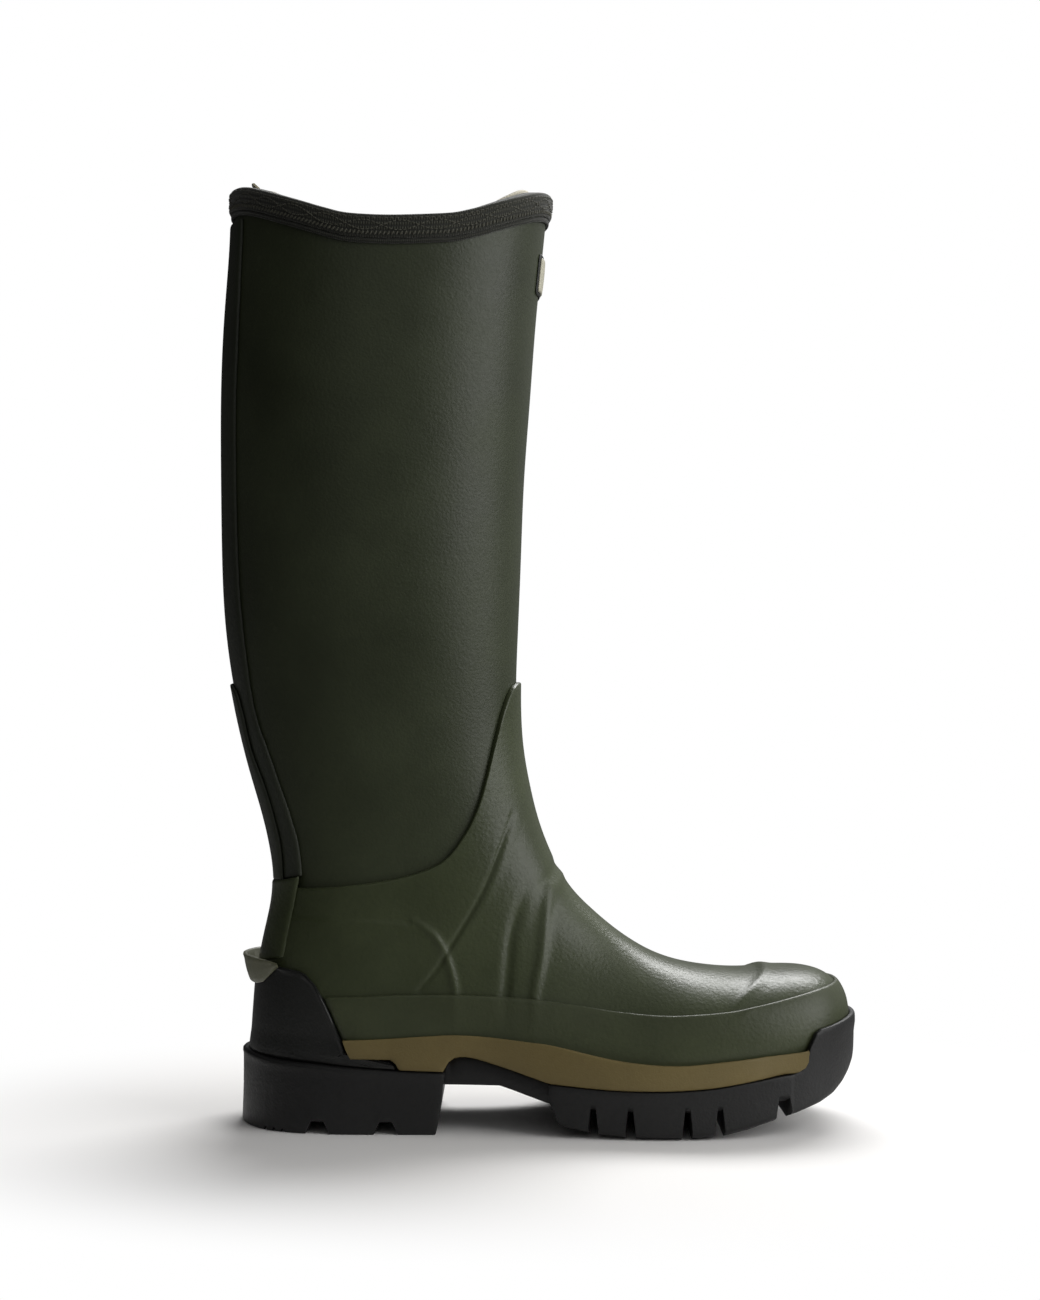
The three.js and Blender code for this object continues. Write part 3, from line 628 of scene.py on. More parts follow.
# %% [markdown]
# ## Mudguard and heel cup
# A band of rubber runs round the foot above the sole, and a hard black cup takes its place at the heel.
# Both follow level outlines: rows go from the upper to the lower line, and columns are shared out between
# the cup's edge on the outer side and the same edge on the inner side.

# %% Mudguard
def level_band(name, top, bottom, edge_x, layer, columns, count, from_heel, relief):
    """A U-shaped band on level outlines, round the heel or round the toe.

    Columns run from -1 at the edge on the outer side over 0 in the middle to 1 at the edge on the inner side.
    """
    lift_in, lift_out = layer
    grid_out, grid_in = [], []
    roll = ROLL[-1][0]
    # For each row: its part of the way from the top line to the bottom line, a shift in mm, and its share.
    row_kinds = [(0, -d, s) for d, s in ROLL]
    row_kinds += [(k, roll * (2 * k - 1), 1.0) for k in np.linspace(0, 1, count)[1:-1]]
    row_kinds += [(1, d, s) for d, s in ROLL[::-1]]
    for part, shift, share in row_kinds:
        z = np.full(columns.shape, 50.0)
        # The lines give a height for each x, and x changes with the height, so a few rounds settle both.
        for _ in range(9):
            start = place_at(edge_x(z), z, lift_in)
            u = start * np.abs(columns) if from_heel else 1 - np.abs(columns) * (1 - start)
            w = np.where(columns <= 0, u, 2 - u)
            x = level_point(z, w, lift_in)[..., 0]
            z = top(x) + (bottom(x) - top(x)) * part + shift
        # The band is thinner at its two ends as well.
        ends = np.minimum(1, 0.35 + 1.1 * (1 - np.abs(columns)) * 160)
        lift = lift_in + (lift_out - lift_in) * np.minimum(share, ends)
        grid_out.append(level_point(z, w, lift + relief(level_point(z, w, lift_in)) * share))
        grid_in.append(level_point(z, w, np.full(columns.shape, lift_in)))
    return band(name, np.array(grid_out), np.array(grid_in), closed=False)


def guard_relief(p):
    """The folds of the foot run down over the band, softened."""
    depth = z_on(GUARD_TOP, p[..., 0]) - p[..., 2]
    return 0.5 * foot_relief(p + np.array([0, 0, 4.0])) * np.exp(-(depth / 14) ** 2)


level_band("mudguard_rubber", lambda x: z_on(GUARD_TOP, x), lambda x: z_on(SEAT, x) + 0.2,
           lambda z: x_on(CUP_EDGE, z) + 0.35, GUARD_LAYER, np.linspace(-1, 1, 340), 22, False, guard_relief)
print("mudguard faces:", len(PIECES["mudguard_rubber"].data.polygons))


# %% [markdown]
# ## The heel cup
# The cup is stiff rubber that stands on the heel block. It uses the mudguard's function the other way round,
# with columns packed a little closer towards its two front edges, where the outline turns fastest.

# %% Heel cup
def cup_relief(p):
    """A thin rolled line just inside the cup's edge and top, and a flare where it meets the heel block."""
    edge = np.minimum(np.abs(x_on(CUP_EDGE, p[..., 2]) - p[..., 0]) * 0.8, 72.4 - p[..., 2])
    rolled = 0.35 * np.exp(-((edge - 0.9) / 0.8) ** 2)
    flare = 0.9 * smooth_step(-p[..., 2], -44, -33)
    return rolled + flare


heel_columns = np.linspace(-1, 1, 150)
heel_columns = np.sign(heel_columns) * (1 - (1 - np.abs(heel_columns)) ** 1.12)
level_band("heel_cup_rubber", lambda x: np.interp(x, [-118, -107.5, -101.4, -96, -89, -84, -66, -63],
                                                  [72.4, 71.4, 68.8, 60, 44.3, 33.9, 32.7, 30.6]),
           lambda x: z_on(BLOCK_TOP, x) + 0.3, lambda z: x_on(CUP_EDGE, z), CUP_LAYER,
           heel_columns, 34, True, cup_relief)
print("heel cup faces:", len(PIECES["heel_cup_rubber"].data.polygons))

# %% [markdown]
# ## Kick spur
# A pale half cup stands out from the back of the heel, so the boot can be pushed off without bending. It is
# turned like a bowl about an upright axis, and each column of its profile starts and ends on the heel cup.

# %% Spur
SPUR_X, SPUR_REACH = -102.0, 33.0  # the upright axis and the radius of the outline
SPUR_TURN = 62                     # degrees that the bowl turns to each side
SPUR_LIFT = 4.9                    # the spur starts this far off the form, just outside the heel cup
SPUR_LOW = np.array([(-145, 63.4), (-131, 63.6), (-126, 65.0), (-121, 69.4), (-118.5, 71.8), (-116, 73.2)])
SPUR_HIGH = np.array([(-145, 76.6), (-130, 76.2), (-121, 75.2), (-117.5, 74.2)])


def heel_radius(turn, z, lift):
    """Distance from the spur's axis to the foot, in a direction turned from straight back."""
    places = np.linspace(0, 0.32, 60)
    p = level_point(z, places, lift)
    angle = np.arctan2(-p[:, 1], SPUR_X - p[:, 0])
    return np.interp(np.abs(turn), angle, np.hypot(p[:, 1], SPUR_X - p[:, 0]))


def spur_columns():
    grid = []
    for turn in np.radians(np.linspace(-SPUR_TURN, SPUR_TURN, 72)):
        x = SPUR_X - SPUR_REACH * math.cos(turn)
        low, high = z_on(SPUR_LOW, x), z_on(SPUR_HIGH, x)
        foot = max(heel_radius(turn, z, SPUR_LIFT) for z in (62.0, 68.0, 74.0))
        wide = lambda z: max(29.6 + (z - 60) * 0.236, foot + 0.5)  # the wall leans out as it rises
        floor = min(high - 1.2, low + 0.45 * (high - low))
        thin = min(1.9, (wide(high) - foot) * 0.6)
        bottom, rim = wide(low), wide(high)
        profile = [(foot, low + 0.6), (foot + 0.35 * (bottom - foot), low + 0.15), (bottom - 0.5, low),
                   (bottom + 0.1, low + 0.5)]
        profile += [(wide(low + k * (high - low)) + 0.5 * math.sin(math.pi * k), low + k * (high - low))
                    for k in (0.2, 0.4, 0.6, 0.8)]
        profile += [(rim + 0.25, high - 0.8), (rim + 0.1, high - 0.2), (rim - 0.4, high),
                    (rim - thin + 0.5, high), (rim - thin, high - 0.5),
                    (max(rim - thin - 1.4, foot + 0.3), floor + 0.4), (foot + 0.2, floor), (foot, floor)]
        grid.append([(SPUR_X - r * math.cos(turn), -r * math.sin(turn), z) for r, z in profile])
    return np.array(grid).transpose(1, 0, 2)


spur_grid = spur_columns()
from_grid("kick_spur_cup", spur_grid, True, False)
print("spur reaches back to", round(float(spur_grid[..., 0].min()), 1), "mm")

# %% [markdown]
# ## The rim
# Webbing is folded over the top of the leg and sewn through, with a narrow tape under it and a pale knit
# band inside. A folded strip could be bent with a curve modifier, but the rim dips at the sides, so each
# point of the strip's profile is given as a drop below the rim line and a lift from the leg.

# %% Binding, tape, facing and pull loop
RIM_ANGLES = np.linspace(0, 2 * np.pi, 260, endpoint=False)


def rim_points(drop, lift):
    """The rim line all the way round, lowered by drop and pushed out by lift."""
    t = find_t(RIM_ANGLES, under(RIM, drop), 0.0, 0.2)
    return last_point(t, RIM_ANGLES, np.full(len(RIM_ANGLES), float(lift)))


# The webbing and the tape in cross-section: drop below the rim line and lift over the form.
BINDING_PROFILE = [
    (10.4, 0.5), (10.35, 1.4), (10.05, 1.85), (9.5, 2.05), (8.4, 1.95), (7.3, 2.15), (5.4, 2.3), (3.6, 2.3),
    (2.3, 2.2), (1.2, 1.95), (0.5, 1.5), (0.12, 0.8), (0, -0.2), (0, -3.2), (0.05, -6), (0.3, -7.3),
    (0.9, -8.05), (2, -8.3), (5, -8.3), (8, -8.3), (9.6, -8.25), (10.2, -7.9), (10.4, -7.3), (10.4, -6.5),
    (2, -6.5), (2, 0.3), (10.3, 0.3),
]
TAPE_PROFILE = [(10.65, 0.6), (10.7, 1.2), (11.0, 1.45), (11.7, 1.5), (12.4, 1.45), (12.7, 1.2), (12.8, 0.6),
                (12.7, 0.3), (10.7, 0.3)]
for name, profile in (("rim_webbing", BINDING_PROFILE), ("rim_tape", TAPE_PROFILE)):
    from_grid(name, np.array([rim_points(drop, lift) for drop, lift in profile]), True, True)

FACING_TOP = smooth_line([(-150, 425.0), (-129, 422.0), (-117, 416.6), (-94, 406.8), (-64, 402.6),
                          (-30, 406.6), (-9, 417.9), (2, 423.7), (12, 426.0)])
ring_band("knit_facing", under(FACING_TOP), under(RIM, FACING_HEIGHT), FACING_LAYER, 16, 16, RIM_ANGLES)


def patch(name, z_low, z_high, half_width, corner, lift_in, lift_out, centre, rows=14, columns=25, lean=None,
          dome=0.0):
    """A small flat piece with rounded corners laid on the front (0) or the back (pi) of the leg."""
    height = z_high - z_low
    d = np.concatenate([[0, 0.12, 0.4, 1.0], np.linspace(1.0, height / 2, rows)[1:]])
    d = np.concatenate([d, height - d[-2::-1]])
    edge = np.minimum(d, height - d)
    bend = corner - np.sqrt(np.maximum(corner ** 2 - (corner - edge) ** 2, 0))
    corner_in = np.where(edge < corner, bend, 0)
    row_share = np.interp(edge, [0, 0.12, 0.4, 1.0], [0.3, 0.7, 0.93, 1])
    s = np.linspace(-0.9, 0.9, columns)
    s = np.concatenate([[-1, -0.985, -0.95], s, [0.95, 0.985, 1]])
    column_share = np.interp(1 - np.abs(s), [0, 0.015, 0.05, 0.1], [0.3, 0.7, 0.93, 1])
    outer, inner = [], []
    for di, ci, share in zip(d, corner_in, row_share):
        z = z_high - di
        t = find_t(np.array([centre]), lambda p: p[..., 2] - z, 0.0, 0.4)[0]
        reach = np.linspace(-0.6, 0.6, 241)
        y = bare_point(t, centre + reach)[:, 1]
        order = np.argsort(y)
        angle = centre + np.interp(s * (half_width - ci), y[order], reach[order])
        out = lift_in + (lift_out - lift_in) * np.minimum(share, column_share)
        out = out + dome * (1 - s ** 2) * (1 - (2 * di / height - 1) ** 2)
        move = 0 if lean is None else lean(z)
        outer.append(last_point(t, angle, out + move))
        inner.append(last_point(t, angle, np.full(len(s), lift_in + move)))
    return band(name, np.array(outer), np.array(inner), closed=False)


patch("pull_tab", 386, 428.6, 10, 1.5, -11.6, -10.1, math.pi, 30, 17,
      lean=lambda z: 2.4 * smooth_step(z, 425.6, 428.6) - 0.6 * math.sin(math.pi * (z - 386) / 43))
patch("badge_base", 377.0, 395.6, 12.8, 2.0, 0.3, 0.8, 0.0)
patch("badge_face", 378.6, 394.0, 11, 1.4, 0.9, 1.6, 0.0, dome=0.25)
print("webbing faces:", len(PIECES["rim_webbing"].data.polygons))

# %% [markdown]
# ## Inside the foot
# The insulation is a sock of felted foam, closed at the toe and flat underneath. The footbed lies loose on
# the insole board, so it is a piece of its own that can be lifted by its heel. It is dished a little, as a
# foot presses it.

# %% Insulation sock and footbed
t_top = find_t(LEG_ANGLES, under(UNDERLAP, 0.6), 0.2)
share = np.linspace(0, 1, 120)[:, None] ** 0.9
sock_t = t_top + (0.992 - t_top) * share


def sock_face(lift, floor):
    """One face of the sock, cut off flat at a height over the seat."""
    p = last_point(sock_t, LEG_ANGLES[None, :], np.full(sock_t.shape, lift))
    p[..., 2] = np.maximum(p[..., 2], z_on(SEAT, p[..., 0]) + floor)
    return p


slab("foot_sock", np.concatenate([sock_face(SOCK_INSIDE, -0.05)[::-1], sock_face(0.0, -0.3)]))

PLACES_ROUND = np.concatenate([np.linspace(0, 1, 90), np.linspace(1, 2, 90)])
foot_ring = level_point(46.0, PLACES_ROUND, -9.6)[:, :2]
MIDDLE_X = foot_ring[:, 0].mean()
BOARD_TOP = 2.7  # the footbed starts this far over the seat, on the insole board
bed_rows = []
# Size of each ring against the outline, and its height over the board.
for inset, height in ((0.6, 0.0), (1.0, 0.3), (1.0, 2.5), (1.0, 4.4), (0.995, 4.9), (0.98, 5.0), (0.95, 4.9),
                      (0.88, 4.3), (0.75, 3.9), (0.5, 3.6), (0.2, 3.5)):
    x = MIDDLE_X + (foot_ring[:, 0] - MIDDLE_X) * (1 - (1 - inset) * 0.35)
    bed_rows.append(np.stack([x, foot_ring[:, 1] * inset, z_on(SEAT, x) + BOARD_TOP + height], -1))
slab("loose_footbed", np.array(bed_rows))
print("footbed top at the heel:", round(float(bed_rows[5][0, 2]), 1), "mm")

# %% [markdown]
# ## The sole from above
# Sole pieces are slabs: one ring seen from above, repeated at a few heights and sizes. Columns stand at the
# same X on both sides, so that tread grooves run straight across. The heights under each column make the
# grooves, and a bevel softens their edges afterwards.

# %% Plan outlines
PLAN = [
    (-134.6, 0), (-131.4, -15), (-122.5, -28.5), (-108, -37), (-88, -40.6), (-62, -41.2), (-35, -42),
    (-5, -46.2), (24, -52), (50, -55.2), (76, -54.2), (100, -49.8), (119, -38.5), (133, -22), (140.5, -7),
    (141.5, 4), (135.5, 22), (121, 38.5), (100, 49.8), (76, 52.8), (50, 52), (24, 47), (-5, 41.2),
    (-35, 39.4), (-62, 39.6), (-88, 39.6), (-108, 36.5), (-122.5, 28.5), (-131.4, 15),
]
dense = smooth_line(PLAN[-1:] + PLAN + PLAN[:2], 40)[40:-40]
TIP = int(dense[:, 0].argmax())
OUTER_SIDE, INNER_SIDE = dense[:TIP + 1], dense[TIP:][::-1]


def plan_y(x, side):
    line = OUTER_SIDE if side < 0 else INNER_SIDE
    order = np.argsort(line[:, 0])
    return np.interp(x, line[order, 0], line[order, 1])


def foot_y(x, z, side, lift):
    w = place_at(x, z, lift)
    return level_point(z, w if side < 0 else 2 - w, lift)[..., 1]


def heel_ring(xs):
    """Columns round the heel: places on the plan from the back, then the given x values on each side."""
    back = OUTER_SIDE[OUTER_SIDE[:, 0] < xs[0]][::5]
    out = np.vstack([back, np.stack([xs, plan_y(xs, -1)], -1)])
    back = INNER_SIDE[INNER_SIDE[:, 0] < xs[0]]
    place = np.linspace(0, len(back) - 1, len(out) - len(xs)).astype(int)
    inn = np.vstack([back[place], np.stack([xs, plan_y(xs, 1)], -1)])
    return np.vstack([out, inn[::-1]])


def grown(ring, grow):
    """The ring moved outwards along its own normals."""
    gap = np.linalg.norm(np.roll(ring, -1, axis=0) - ring, axis=1)
    keep = ring + np.array([1e-4, 0]) * (gap < 1e-6)[:, None]
    step = np.roll(keep, -1, axis=0) - keep
    step = unit(np.where(np.linalg.norm(step, axis=1, keepdims=True) < 1e-3, np.roll(step, 1, axis=0), step))
    n = unit(step + np.roll(step, 1, axis=0))
    return ring + np.stack([n[:, 1], -n[:, 0]], -1) * np.asarray(grow, float).reshape(-1, 1)


def both_sides(xs, outer_y, inner_y):
    """A closed ring with the same x values on both sides."""
    return np.vstack([np.column_stack([xs, outer_y]), np.column_stack([xs, inner_y])[::-1]])


def with_z(ring, z):
    return np.column_stack([ring, np.broadcast_to(z, (len(ring),))])


def heights_with_grooves(x, line, grooves, wall):
    """Underside height at each x; grooves are (start, end, top)."""
    z = z_on(line, x)
    for start, end, top in grooves:
        inside = np.minimum(x - start, end - x)
        z = np.where(inside > wall * 0.5, top, z)
    return z


def groove_columns(low, high, grooves, wall, spacing=4.0):
    """Even x values, with extra ones at both ends of every groove wall."""
    marks = [m for s, e, _ in grooves for m in (s, s + wall, e - wall, e)]
    even = [x for x in np.arange(low, high + 0.01, spacing)
            if all(not s - 1 < x < e + 1 for s, e, _ in grooves)]
    return np.array(sorted(set([low, high] + marks + even)))


# %% [markdown]
# ## The heel block
# The block under the heel is solid rubber with two wide grooves across it and three small nicks at the back.
# Cutting the grooves out of a box would leave thin slivers, so the underside is given its height column by
# column instead. The front of the block leans back towards the ground.

# %% Heel block
HEEL_GROOVES = [(-103.6, -92.9, 5.5), (-73.2, -62.5, 5.5)]  # start, end and top of each groove
HEEL_WALL, NICK_WALL = 2.6, 0.4  # how far the walls of the grooves and nicks slope
NICKS = [(-122.4, -120.9, 1.3), (-118.6, -117.1, 1.3), (-114.6, -113.1, 1.2)]
LEVEL_GROUND = np.array([(-200, 0.0), (200, 0.0)])
HEEL_FRONT, LEAN_FROM = -42.5, -60.0  # front edge at the top, and where its lean begins
HEEL_X = np.array(sorted(set(groove_columns(-124, HEEL_FRONT, HEEL_GROOVES, HEEL_WALL, 3.0))
                         | {m for s, e, _ in NICKS for m in (s, s + NICK_WALL, e - NICK_WALL, e)}))
heel = heel_ring(HEEL_X)
z_top = z_on(BLOCK_TOP, heel[:, 0])
z_low = heights_with_grooves(heel[:, 0], LEVEL_GROUND, HEEL_GROOVES, HEEL_WALL)
z_low = np.maximum(z_low, heights_with_grooves(heel[:, 0], LEVEL_GROUND, NICKS, NICK_WALL))


def leaned(ring, z):
    """The front of the heel block leans back towards the ground."""
    front = np.interp(z, [0, 10, 27.6], [-46.5, -44, HEEL_FRONT])
    x = ring[:, 0]
    moved = LEAN_FROM + (x - LEAN_FROM) * (front - LEAN_FROM) / (HEEL_FRONT - LEAN_FROM)
    return np.column_stack([np.where(x > LEAN_FROM, moved, x), ring[:, 1], z])


tall = z_top - z_low
rows = [leaned(grown(heel, grow), z) for z, grow in (
    (z_top, -6), (z_top, -0.6), (z_top - 0.25, 0.35), (z_top - 0.9, 1.0), (z_top - 2, 1.1),
    (z_top - 3.2, 0.8), (z_top - 6, 0.75), (z_low + tall * 0.5, 0.8), (z_low + tall * 0.22, 1.1),
    (z_low + 0.9, 1.3), (z_low + 0.25, 1.05), (z_low, 0.3))]
heel_block = soften(slab("heel_block_rubber", np.array(rows)))
print("heel block faces:", len(heel_block.data.polygons))

# %% [markdown]
# ## The forefoot outsole
# The tread and the toe cap are one moulding. Along the side its outline is that of the plan; round the toe it
# follows the foot, so that the cap hugs the shell. The lowest rows step in to give the lugs a bevelled edge.

# %% Forefoot outsole with the toe cap
FORE_GROOVES = [(21.6, 26, 12), (37.8, 42.3, 11.5), (62.9, 67.4, 11.5), (77.3, 81.8, 12), (104.8, 112, 15.5)]
FORE_WALL = 1.1
FORE_START, CAP_START = 4.4, 112.0  # x where the outsole and the toe cap begin
CAP_HEIGHT = 42.0                   # height of the outline that the toe cap follows
FORE_X = groove_columns(FORE_START, CAP_START, FORE_GROOVES, FORE_WALL)
CAP_TOP = np.vstack([OUTSOLE_TOP[OUTSOLE_TOP[:, 0] < CAP_START], TOE_CAP_TOP])
toe_start = place_at(CAP_START, CAP_HEIGHT, TOE_LIFT)
TOE_W = toe_start + (1 - toe_start) * np.linspace(0, 1, 34)[1:]
TOE_W = np.unique(np.concatenate([TOE_W, np.linspace(toe_start, TOE_W[12], 26)[1:]]))


def fore_ring(z):
    """Outline of the outsole at the given heights, one height for each column of the ring."""
    n = len(FORE_X)
    half = n + len(TOE_W)
    z_out, z_in = z[:half], z[half:][::-1]
    sides = []
    for zs, side in ((z_out, -1), (z_in, 1)):
        toe_z = np.maximum(zs[n:], CAP_HEIGHT)
        toe = level_point(toe_z, TOE_W if side < 0 else 2 - TOE_W, TOE_LIFT)[:, :2]
        # The cap draws in a little towards the ground.
        under_toe = np.clip((40 - zs[n:]) / 20, 0, 1)[:, None]
        toe = toe - np.array([0.6, 0]) * under_toe
        y = plan_y(FORE_X, side) + side * 0.8
        foot = foot_y(np.clip(FORE_X, 60, CAP_START), CAP_HEIGHT, side, TOE_LIFT)
        y = y + (foot - y) * smooth_step(FORE_X, 72, 100)
        sides.append(np.vstack([np.column_stack([FORE_X, y]), toe]))
    return np.vstack([sides[0], sides[1][::-1]])


fore_x = fore_ring(np.full(2 * (len(FORE_X) + len(TOE_W)), CAP_HEIGHT))[:, 0]
z_top = z_on(CAP_TOP, fore_x)
z_low = np.minimum(heights_with_grooves(fore_x, TREAD, FORE_GROOVES, FORE_WALL), z_top - 4)
z_low = np.where(fore_x < 4.5, 14.2, z_low)
rows = []
for z, grow in ((np.minimum(z_top, z_on(SEAT, fore_x) - 3), -3.2), (z_top - 0.5, -2.5), (z_top, -1.7),
                (z_top, -0.9), (z_top - 0.25, -0.25), (z_top - 0.9, 0), (z_top - 2.2, 0)):
    rows.append(with_z(grown(fore_ring(z), grow), z))
for k in (0.25, 0.45, 0.65, 0.82):
    z = z_top + (z_low - z_top) * k
    rows.append(with_z(fore_ring(z), z))
for z, grow in ((z_low + 3.0, 0), (z_low + 2.2, -0.3), (z_low + 1.5, -0.9), (z_low, -4.5)):
    rows.append(with_z(grown(fore_ring(z), grow), z))
outsole = soften(slab("outsole_rubber", np.array(rows)))
print("outsole faces:", len(outsole.data.polygons), "toe at", fore_x.max().round(1), "mm")

# %% [markdown]
# ## The midsole
# Olive foam sits between the foot and the tread, thick at the waist and thin at the toe. Its outline is the
# plan, kept wide enough to reach past the foot, and averaged over neighbours so that it has no kinks. The
# rear and front ends are cut to fit the heel cup and the toe cap.

# %% Midsole
MID_START, MID_END = -84.0, 112.6    # ends of the plain outline, before they are fitted
FIT_REAR, FIT_FRONT = -76.0, 100.0   # outside these x values the outline is stretched to fit
MID_X = np.concatenate([[MID_START], np.linspace(-83, -68, 6), [-66, -65, -63.5, -62],
                        np.linspace(-60, MID_END, 70)])
MID_FOOT = np.vstack([[(-90, 33.3), (-66, 33.0), (-63.6, 31.4), (-62.6, 28.5)],
                      BLOCK_TOP[(BLOCK_TOP[:, 0] > -61) & (BLOCK_TOP[:, 0] < -43)] + (0, 0.3),
                      ARCH + (0, 0.3), OUTSOLE_TOP[1:] + (0, 0.3)])
foot_in = {side: foot_y(MID_X, 38.0, side, 4.45) for side in (-1, 1)}
mid_out = {}
for side in (-1, 1):
    reach = np.maximum(np.abs(plan_y(MID_X, side)), np.abs(foot_in[side]) + 1.3)
    mid_out[side] = side * np.convolve(np.pad(reach, 2, mode="edge"), np.ones(5) / 5, mode="valid")
mid_ring = both_sides(MID_X, mid_out[-1], mid_out[1])
cavity = both_sides(MID_X, foot_in[-1], foot_in[1])


def fitted(ring, z):
    """Rear and front edges of the midsole follow the heel cup and the toe cap."""
    rear, front = x_on(CUP_EDGE, np.maximum(z, 33.95)) + 0.35, x_on(TOE_CAP_TOP, z) - 0.35
    x = ring[:, 0]
    x = np.where(x < FIT_REAR, rear + (x - MID_START) * (FIT_REAR - rear) / (FIT_REAR - MID_START), x)
    stretch = (front - FIT_FRONT) / (MID_END - FIT_FRONT)
    x = np.where(x > FIT_FRONT, FIT_FRONT + (x - FIT_FRONT) * stretch, x)
    return np.column_stack([x, ring[:, 1], z])


x = mid_ring[:, 0]
z_top, z_low = z_on(MIDSOLE_TOP, x), z_on(MID_FOOT, x)
rows = [fitted(cavity, z_on(SEAT, x) - 0.4), fitted(cavity, z_top - 0.5)]
rows += [fitted(grown(mid_ring, grow), z) for z, grow in (
    (z_top, -0.6), (z_top - 0.2, -0.15), (z_top - 0.8, 0.05), (z_top - 2, 0.1),
    (z_top + (z_low - z_top) * 0.5, 0.45), (z_top + (z_low - z_top) * 0.75, 0.5),
    (z_low + 0.8, 0.35), (z_low + 0.2, 0.1), (z_low, -0.5))]
midsole = slab("midsole_foam", np.array(rows))
print("midsole faces:", len(midsole.data.polygons))

# %% [markdown]
# ## The waist plate
# A thin black plate covers the arch between the heel block and the tread. It could be part of the outsole,
# but on the boot it sits a little further in, so it is a slab whose ends reach into both neighbours.

# %% Waist plate
WAIST_X = np.linspace(-46.0, 8.4, 56)
waist = both_sides(WAIST_X, plan_y(WAIST_X, -1), plan_y(WAIST_X, 1))
WAIST_LOW = np.array([(-43, 21.6), (-18, 21.6), (-12, 19.7), (-3, 16.5), (3.2, 14.4), (4, 14.4)])
x = waist[:, 0]
z_low = z_on(WAIST_LOW, x)
z_top = np.maximum(z_on(ARCH, x) - 0.2, z_low + 3)
rows = [with_z(grown(waist, grow), z) for z, grow in (
    (z_top, -6), (z_top, -3.7), (z_top - 0.5, -3.2), (z_low + 0.8, -3.2), (z_low + 0.2, -3.5), (z_low, -4.1))]
waist_plate = slab("waist_plate_rubber", np.array(rows))
print("waist plate faces:", len(waist_plate.data.polygons))

# %% [markdown]
# ## Finishes made of nodes
# Moulded rubber is never one flat colour. It has a fine grain like leather, slow changes of tone, and
# places that are rubbed smoother. All of this comes from noise in the object's own coordinates, so it stays
# fixed on the boot. Plain numbers, such as the sheen, are set on the shader itself.

# %% Node helpers
def new_material(name, roughness=0.6, **settings):
    material = bpy.data.materials.new(name)
    material.use_nodes = True
    tree = material.node_tree
    shader = tree.nodes["Principled BSDF"]
    shader.inputs["Roughness"].default_value = roughness
    for label, value in settings.items():
        shader.inputs[label.replace("_", " ")].default_value = value
    return material, tree, shader


def add_node(tree, kind, values=None, **settings):
    node = tree.nodes.new(kind)
    for label, value in settings.items():
        setattr(node, label, value)
    for label, value in (values or {}).items():
        node.inputs[label].default_value = value
    return node


def linear(colour):
    """An sRGB colour from 0 to 255 as the linear colour that a shader wants."""
    c = np.array(colour) / 255
    return tuple(np.where(c <= 0.04045, c / 12.92, ((c + 0.055) / 1.055) ** 2.4)) + (1.0,)


def noise_on(tree, where, scale, detail=4.0, rough=0.55):
    node = add_node(tree, "ShaderNodeTexNoise", {"Scale": scale, "Detail": detail, "Roughness": rough})
    tree.links.new(where, node.inputs["Vector"])
    return node.outputs["Fac"]


def ramp_on(tree, source, stops):
    node = add_node(tree, "ShaderNodeValToRGB")
    for place, colour in stops[1:-1]:
        node.color_ramp.elements.new(place)
    for element, (place, colour) in zip(node.color_ramp.elements, stops):
        element.position = place
        element.color = colour
    tree.links.new(source, node.inputs["Fac"])
    return node.outputs["Color"]


def range_on(tree, source, low, high, out_low, out_high):
    node = add_node(tree, "ShaderNodeMapRange", {"From Min": low, "From Max": high, "To Min": out_low,
                                                 "To Max": out_high})
    tree.links.new(source, node.inputs["Value"])
    return node.outputs["Result"]


def math_on(tree, operation, a, b):
    node = add_node(tree, "ShaderNodeMath", operation=operation)
    for socket, value in zip(node.inputs, (a, b)):
        if isinstance(value, (int, float)):
            socket.default_value = value
        else:
            tree.links.new(value, socket)
    return node.outputs["Value"]


def mix_on(tree, factor, a, b):
    """Two colours mixed; sockets 6 and 7 of the node are the colours, output 2 the colour result."""
    node = add_node(tree, "ShaderNodeMix", data_type="RGBA")
    for number, value in ((0, factor), (6, a), (7, b)):
        if hasattr(value, "is_linked"):
            tree.links.new(value, node.inputs[number])
        else:
            node.inputs[number].default_value = value
    return node.outputs[2]


def bump_on(tree, height, strength, distance, below=None):
    node = add_node(tree, "ShaderNodeBump", {"Strength": strength, "Distance": distance})
    tree.links.new(height, node.inputs["Height"])
    if below is not None:
        tree.links.new(below, node.inputs["Normal"])
    return node.outputs["Normal"]


# %% [markdown]
# ## Moulded rubber
# The grain comes from round cells with bent edges, as in a mould that copies leather, and finer noise over
# them. A painted texture would stretch over the curves, but noise in space stays even. Worn spots are paler
# and come in patches.

